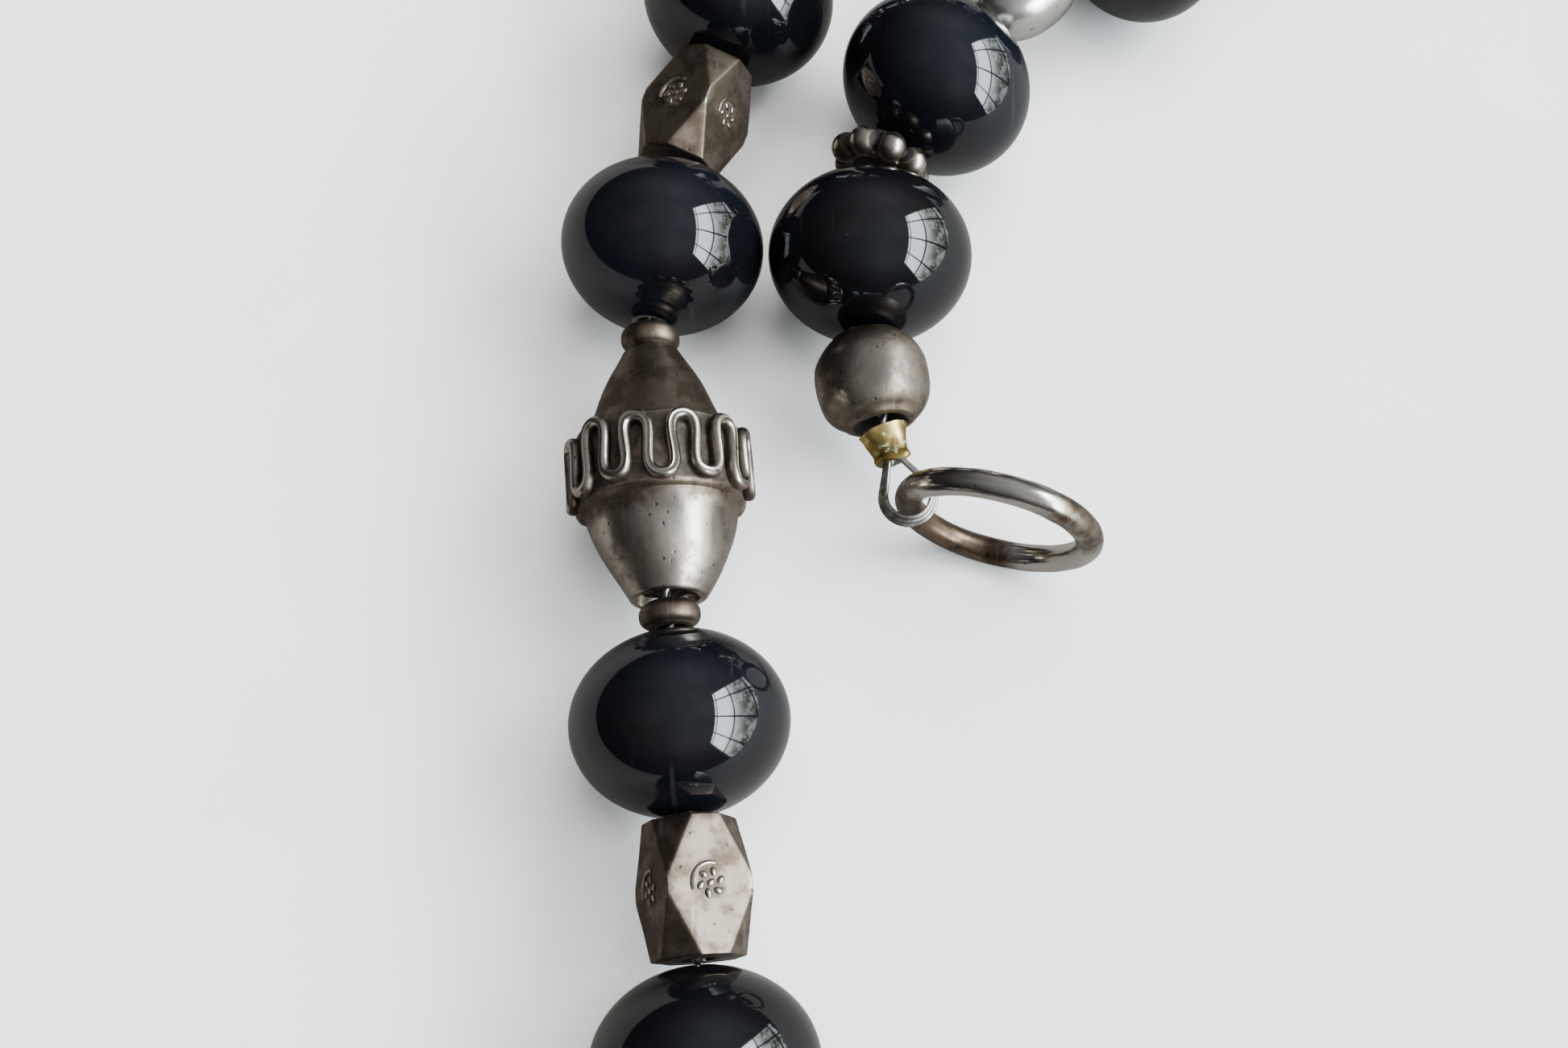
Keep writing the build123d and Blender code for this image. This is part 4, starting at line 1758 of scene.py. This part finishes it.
@dataclass
class ClaspRing:
    """A closed ring of worn round wire that stands on its edge."""

    middle_radius: float = 6.05
    tube_radius: float = 0.95
    slimming: float = 0.985
    heading: float = -16.0

    def build(self, layout: Layout, finishes: Finishes) -> None:
        """Make the ring, thin it unevenly where it is worn, paint highlights and shade into its film, and
        stand it at its pivot.

        Args:
            layout: every piece's place.
            finishes: the materials.
        """
        to_object_mode()
        bpy.ops.mesh.primitive_torus_add(major_segments=160, minor_segments=28,
                                         major_radius=self.middle_radius * MM,
                                         minor_radius=self.tube_radius * self.slimming * MM)
        piece = bpy.context.object
        piece.name = piece.data.name = "clasp_ring_look"
        for vertex in piece.data.vertices:
            spot = vertex.co
            angle = math.atan2(spot.y, spot.x)
            middle = Vector((math.cos(angle), math.sin(angle), 0)) * self.middle_radius * MM
            uneven = 0.035 * (0.5 + 0.5 * math.sin(3 * angle + 1.0))
            worn = 0.05 * max(0.0, math.cos(angle - math.pi)) ** 8
            vertex.co = middle + (spot - middle) * (1.0 - uneven - worn)
        dent(piece, 0.03, 1.3, 6.0)

        def wear(place: Vector) -> float:
            """Rise along the top by the wire loop and at the far end's foot: painted highlights, laid in as
            bright rubbed silver.

            Args:
                place: a place on the piece in metres.

            Returns:
                The mask's value.
            """
            angle = math.atan2(-place.y, place.x)
            # painted highlight: the lit top of the ring by the wire loop
            painted_highlight_top = smooth_step(0.5, 1.0, math.cos(angle - 2.0))
            # painted highlight: the bright foot at the ring's far end
            painted_highlight_foot = smooth_step(0.6, 1.0, math.cos(angle + 0.6))
            return 0.8 * max(painted_highlight_top, painted_highlight_foot)

        def recess(place: Vector) -> float:
            """Rise on the side by the wire loop and under it: darker film there, painted shade as well as
            tarnish.
            """
            # painted shade: the film darkens the ring's bottom-left, under the loop and away from the light
            return 0.55 * smooth_step(0.1, 1.0, math.cos(math.atan2(-place.y, place.x) + 2.5))

        set_mask(piece, "wear", wear)
        set_mask(piece, "recess", recess)
        heading = math.radians(self.heading)
        outward = Vector((math.cos(heading), math.sin(heading), 0))
        normal = Vector((-outward.y, outward.x, 0))
        up = normal.cross(outward)
        pivot = Vector(layout.joints["clasp_ring"]["pos_m"])
        turn = Matrix((outward, up, normal)).transposed().to_4x4()
        piece.data.transform(Matrix.Translation(pivot + outward * self.middle_radius * MM) @ turn)
        smooth(piece, 60)
        finishes.dress(piece, Finish.CLASP_SILVER)
        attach(piece, "clasp_ring")
        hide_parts("clasp_ring")
        LOG.info("clasp_ring_look: %d faces", len(piece.data.polygons))


@dataclass
class ToggleBar:
    """A round bar with ball ends, turned collars and an eye at its middle."""

    radius: float = 1.1
    length: float = 20.0
    eye_tube: float = 0.5
    eye_slimming: float = 0.97
    eye_steps: int = 56
    eye_radius: float = 1.6
    eye_overlap: float = 0.5
    tilt: float = 14.0

    def build(self, layout: Layout, finishes: Finishes) -> None:
        """Make the bar and its eye in their place.

        Args:
            layout: every piece's place.
            finishes: the materials.
        """
        joint = layout.joints["toggle_bar"]
        pivot = Vector(joint["pos_m"])
        across = -Vector(joint["axis"]).normalized()
        forward = Vector((across.y, -across.x, 0)).normalized()
        tilt = math.radians(self.tilt)
        arm = forward * math.cos(tilt) - Vector((0, 0, math.sin(tilt)))
        arm_length = 2 * self.eye_radius + self.radius - self.eye_overlap
        centre = pivot + arm * arm_length * MM
        half = self.length / 2
        profile = arc_points((0.0, -half), self.radius, -82, 0, 9)
        for spot, size in ((-half + 0.7, 0.86), (-half + 1.1, 1.0), (-half + 1.5, 0.86), (-1.9, 0.9),
                           (-1.3, 0.99), (1.3, 0.99), (1.9, 0.9), (half - 1.5, 0.86), (half - 1.1, 1.0),
                           (half - 0.7, 0.86)):
            profile.append((self.radius * size, spot))
        profile += arc_points((0.0, half), self.radius, 0, 82, 9)
        bar = lathe("toggle_bar_look", [(0.02, -half - self.radius + 0.004)] + profile
                    + [(0.02, half + self.radius - 0.004), (0.01, half + self.radius - 0.05),
                       (0.01, -half - self.radius + 0.05)], 40)
        side = across.cross(arm)
        bar.data.transform(Matrix.Translation(centre) @ Matrix((arm, -side, across)).transposed().to_4x4())
        eye_path = []
        eye_centre = pivot + arm * self.eye_radius * MM
        for step in range(self.eye_steps):
            angle = 2 * math.pi * step / self.eye_steps
            out = arm * math.cos(angle) + across * math.sin(angle)
            eye_path.append(eye_centre + out * self.eye_radius * MM)
        eye = tube("eye", eye_path, self.eye_tube * self.eye_slimming, 16, closed=True)
        piece = join([bar, eye], "toggle_bar_look")
        dent(piece, 0.02, 1.2, 5.0)

        def recess(place: Vector) -> float:
            """Rise where the eye meets the bar."""
            return 0.8 * (1.0 - smooth_step(1.2, 2.4, (place - centre + arm * 0.0006).length / MM))

        set_mask(piece, "recess", recess)
        set_mask(piece, "wear", lambda place: 0.45)
        smooth(piece, 45)
        finishes.dress(piece, Finish.CLASP_SILVER)
        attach(piece, "toggle_bar")
        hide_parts("toggle_bar")
        LOG.info("toggle_bar_look: %d faces", len(piece.data.polygons))


# ------------------------------------------------------------------ studio

@dataclass
class Studio:
    """A pale floor, a room with one paned window to the right, soft lights and the camera."""

    target: tuple[float, float, float] = (-0.01746, -0.01398, 0.007)
    back_off: tuple[float, float] = (-0.0379, 0.110)
    pitch: float = 19.0
    lens: float = 40.92
    window_turn: float = 14.0
    window_width: tuple[float, float] = (-1.0, 0.85)
    window_height: tuple[float, float] = (-0.12, 1.2)
    pane: float = 0.56
    window_strength: float = 25.0
    ceiling: float = 0.6

    def floor(self) -> None:
        """Lay the pale floor, which looks darker in reflections, as a table in a room does."""
        to_object_mode()
        bpy.ops.mesh.primitive_plane_add(size=6.0)
        plane = bpy.context.object
        plane.name = "studio_floor"
        material, sheet, shader = start_material("studio_paper", (0.8, 0.79, 0.77))
        place = sheet.add("ShaderNodeTexCoord").outputs["Object"]
        tone = sheet.ramp(sheet.noise(place, 60.0, 3.0), 0.3, 0.7)
        paper = sheet.mix(tone, (0.84, 0.835, 0.825), (0.88, 0.875, 0.865))
        seen = sheet.add("ShaderNodeLightPath").outputs["Is Glossy Ray"]
        sheet.feed(sheet.mix(sheet.math("MULTIPLY", seen, 0.92), paper, (0.1, 0.09, 0.08)),
                   shader.inputs["Base Color"])
        shader.inputs["Roughness"].default_value = 0.8
        bump = sheet.add("ShaderNodeBump", in_Strength=0.15, in_Distance=0.0001)
        sheet.feed(sheet.noise(place, 2500.0, 4.0), bump.inputs["Height"])
        sheet.feed(bump.outputs[0], shader.inputs["Normal"])
        plane.data.materials.append(material)
        plane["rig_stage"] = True

    def lamp(self, name: str, place: Vector, aim: Vector, size: tuple[float, float], power: float,
             colour: Colour) -> None:
        """Hang one soft area light that no polished surface mirrors.

        Args:
            name: the light's name.
            place: where it hangs.
            aim: what it points at.
            size: its width and height in metres.
            power: its power in watts.
            colour: its colour.
        """
        data = bpy.data.lights.new(name, "AREA")
        data.shape = "RECTANGLE"
        data.size, data.size_y = size
        data.energy = power
        data.color = colour
        data.specular_factor = 0.0
        lamp = bpy.data.objects.new(name, data)
        bpy.context.scene.collection.objects.link(lamp)
        lamp.location = place
        lamp.rotation_euler = (aim - place).to_track_quat("-Z", "Y").to_euler()
        lamp.visible_glossy = False

    def lights(self) -> None:
        """Hang the soft ceiling light and a low fill."""
        aim = Vector(self.target)
        self.lamp("soft_ceiling", aim + Vector((0.25, 0.3, 0.9)), aim, (0.9, 0.9), 18.0, (1.0, 0.98, 0.96))
        self.lamp("left_fill", aim + Vector((-0.7, -0.15, 0.35)), aim, (0.4, 0.5), 1.6, (1.0, 0.97, 0.94))

    @staticmethod
    def _between(sheet: Sheet, value: object, low: float, high: float, edge: float) -> bpy.types.NodeSocket:
        """Give 1 while the value lies between low and high, with soft edges."""
        return sheet.math("MULTIPLY", sheet.ramp(value, low - edge, low + edge),
                          sheet.ramp(value, high - edge, high + edge, 1.0, 0.0))

    def world(self) -> None:
        """Make a dim room, lighter overhead, with the paned window in its right wall.

        The camera itself sees a plain pale backdrop in its place.
        """
        world = bpy.data.worlds.new("studio_world")
        bpy.context.scene.world = world
        world.use_nodes = True
        sheet = Sheet(world.node_tree)
        world.node_tree.nodes.clear()
        back = sheet.add("ShaderNodeBackground")
        output = sheet.add("ShaderNodeOutputWorld")
        world.node_tree.links.new(back.outputs[0], output.inputs[0])
        way = sheet.add("ShaderNodeTexCoord").outputs["Generated"]
        parts = sheet.add("ShaderNodeSeparateXYZ")
        sheet.feed(way, parts.inputs[0])
        ahead = sheet.math("MAXIMUM", parts.outputs[0], 0.02)
        across = sheet.math("DIVIDE", parts.outputs[1], ahead)
        up = sheet.math("DIVIDE", parts.outputs[2], ahead)
        turn = math.radians(self.window_turn)
        wide = sheet.math("ADD", sheet.math("MULTIPLY", across, math.cos(turn)),
                          sheet.math("MULTIPLY", up, math.sin(turn)))
        tall = sheet.math("SUBTRACT", sheet.math("MULTIPLY", up, math.cos(turn)),
                          sheet.math("MULTIPLY", across, math.sin(turn)))
        opening = sheet.math("MULTIPLY", self._between(sheet, wide, *self.window_width, 0.02),
                             self._between(sheet, tall, *self.window_height, 0.02))
        for value in (wide, tall):
            cell = sheet.math("PINGPONG", value, self.pane / 2)
            opening = sheet.math("MULTIPLY", opening, sheet.ramp(cell, 0.012, 0.03))
        opening = sheet.math("MULTIPLY", opening, sheet.math("GREATER_THAN", parts.outputs[0], 0.05))
        spot = sheet.add("ShaderNodeCombineXYZ", in_X=wide, in_Y=tall)
        leaves = sheet.ramp(sheet.noise(spot.outputs[0], 5.0, 6.0, 0.7), 0.42, 0.6)
        sky = sheet.ramp(tall, 0.15, 0.75)
        clear = sheet.math("MAXIMUM", sheet.math("MULTIPLY", leaves, 0.75), sky, clamp=True)
        view = sheet.mix(clear, (0.10, 0.12, 0.045), (0.84, 0.93, 1.0))
        glow = sheet.math("MULTIPLY", sheet.math("ADD", sheet.math("MULTIPLY", sky, 0.7), 0.3),
                          self.window_strength)
        bright = sheet.add("ShaderNodeVectorMath", operation="SCALE")
        sheet.feed(view, bright.inputs[0])
        sheet.feed(glow, bright.inputs["Scale"])
        rise = sheet.ramp(parts.outputs[2], 0.1, 1.0)
        patches = sheet.ramp(sheet.noise(way, 1.6, 2.0), 0.35, 0.65, 0.75, 1.15)
        side = sheet.math("MULTIPLY", patches, sheet.ramp(parts.outputs[0], -0.75, 0.35, 0.3, 1.1))
        level = self.ceiling
        room = sheet.mix(rise, (0.09, 0.082, 0.075), (level * 0.93, level * 0.97, level))
        shaded = sheet.add("ShaderNodeVectorMath", operation="SCALE")
        sheet.feed(room, shaded.inputs[0])
        sheet.feed(side, shaded.inputs["Scale"])
        seen = sheet.add("ShaderNodeLightPath").outputs["Is Camera Ray"]
        around = sheet.mix(opening, shaded.outputs[0], bright.outputs[0])
        sheet.feed(sheet.mix(seen, around, (0.8, 0.8, 0.79)), back.inputs["Color"])
        back.inputs["Strength"].default_value = 1.0

    def camera(self) -> None:
        """Set the camera at the reference angle."""
        data = bpy.data.cameras.new("main_camera")
        data.sensor_width = 36.0
        data.lens = self.lens
        data.clip_start = 0.005
        data.clip_end = 20.0
        camera = bpy.data.objects.new("main_camera", data)
        bpy.context.scene.collection.objects.link(camera)
        camera.location = Vector(self.target) + Vector((0, *self.back_off))
        camera.rotation_euler = (math.radians(self.pitch), 0, 0)
        bpy.context.scene.camera = camera

    def build(self) -> None:
        """Build the whole studio."""
        self.floor()
        self.lights()
        self.world()
        self.camera()
        LOG.info("studio: floor, lights, world and camera")


def box_lists(box: object) -> list[list[float]]:
    """Turn a box into plain lists of numbers."""
    low, high = box
    return [[float(number) for number in low], [float(number) for number in high]]


def visual_box() -> list[list[float]]:
    """Measure the box round every look piece.

    Returns:
        The low and high corners in metres.
    """
    low = Vector((1e9, 1e9, 1e9))
    high = -low
    for piece in bpy.context.scene.objects:
        if piece.type != "MESH" or piece.hide_render or piece.get("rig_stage"):
            continue
        for vertex in piece.data.vertices:
            for axis in range(3):
                low[axis] = min(low[axis], vertex.co[axis])
                high[axis] = max(high[axis], vertex.co[axis])
    return [list(low), list(high)]


def main() -> None:
    """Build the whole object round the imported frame."""
    logging.basicConfig(level=logging.INFO, format="%(message)s")
    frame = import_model()
    cad_box = box_lists(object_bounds())
    layout = Layout(frame)
    finishes = Finishes()
    builders = [
        BlackBeads(),
        RoundSilver("silver_oval_", 8.0, 6.0, 1.5, 0.14, Finish.BRIGHT_SILVER, 0.07, fullness=1.15),
        RoundSilver("barrel_", 6.3, 7.7, 2.45, 0.25, Finish.AGED_SILVER, 0.14, mouth=1.75, fullness=1.3,
                    handled=0.35),
        RoundSilver("rondelle_", 1.7, 4.0, 1.5, 0.12, Finish.AGED_SILVER, 0.05, steps=16, fullness=1.3,
                    handled=0.15, filmed=0.3),
        FacetedBeads(),
        Bicones(),
        Daisies(),
        Crimps(),
        WireSpans(),
        ClaspRing(),
        ToggleBar(),
    ]
    for builder in builders:
        builder.build(layout, finishes)
        LOG.info("built %s", type(builder).__name__)
    Studio().build()
    {"cad": cad_box, "visual": visual_box()}


if __name__ == "__main__":
    main()
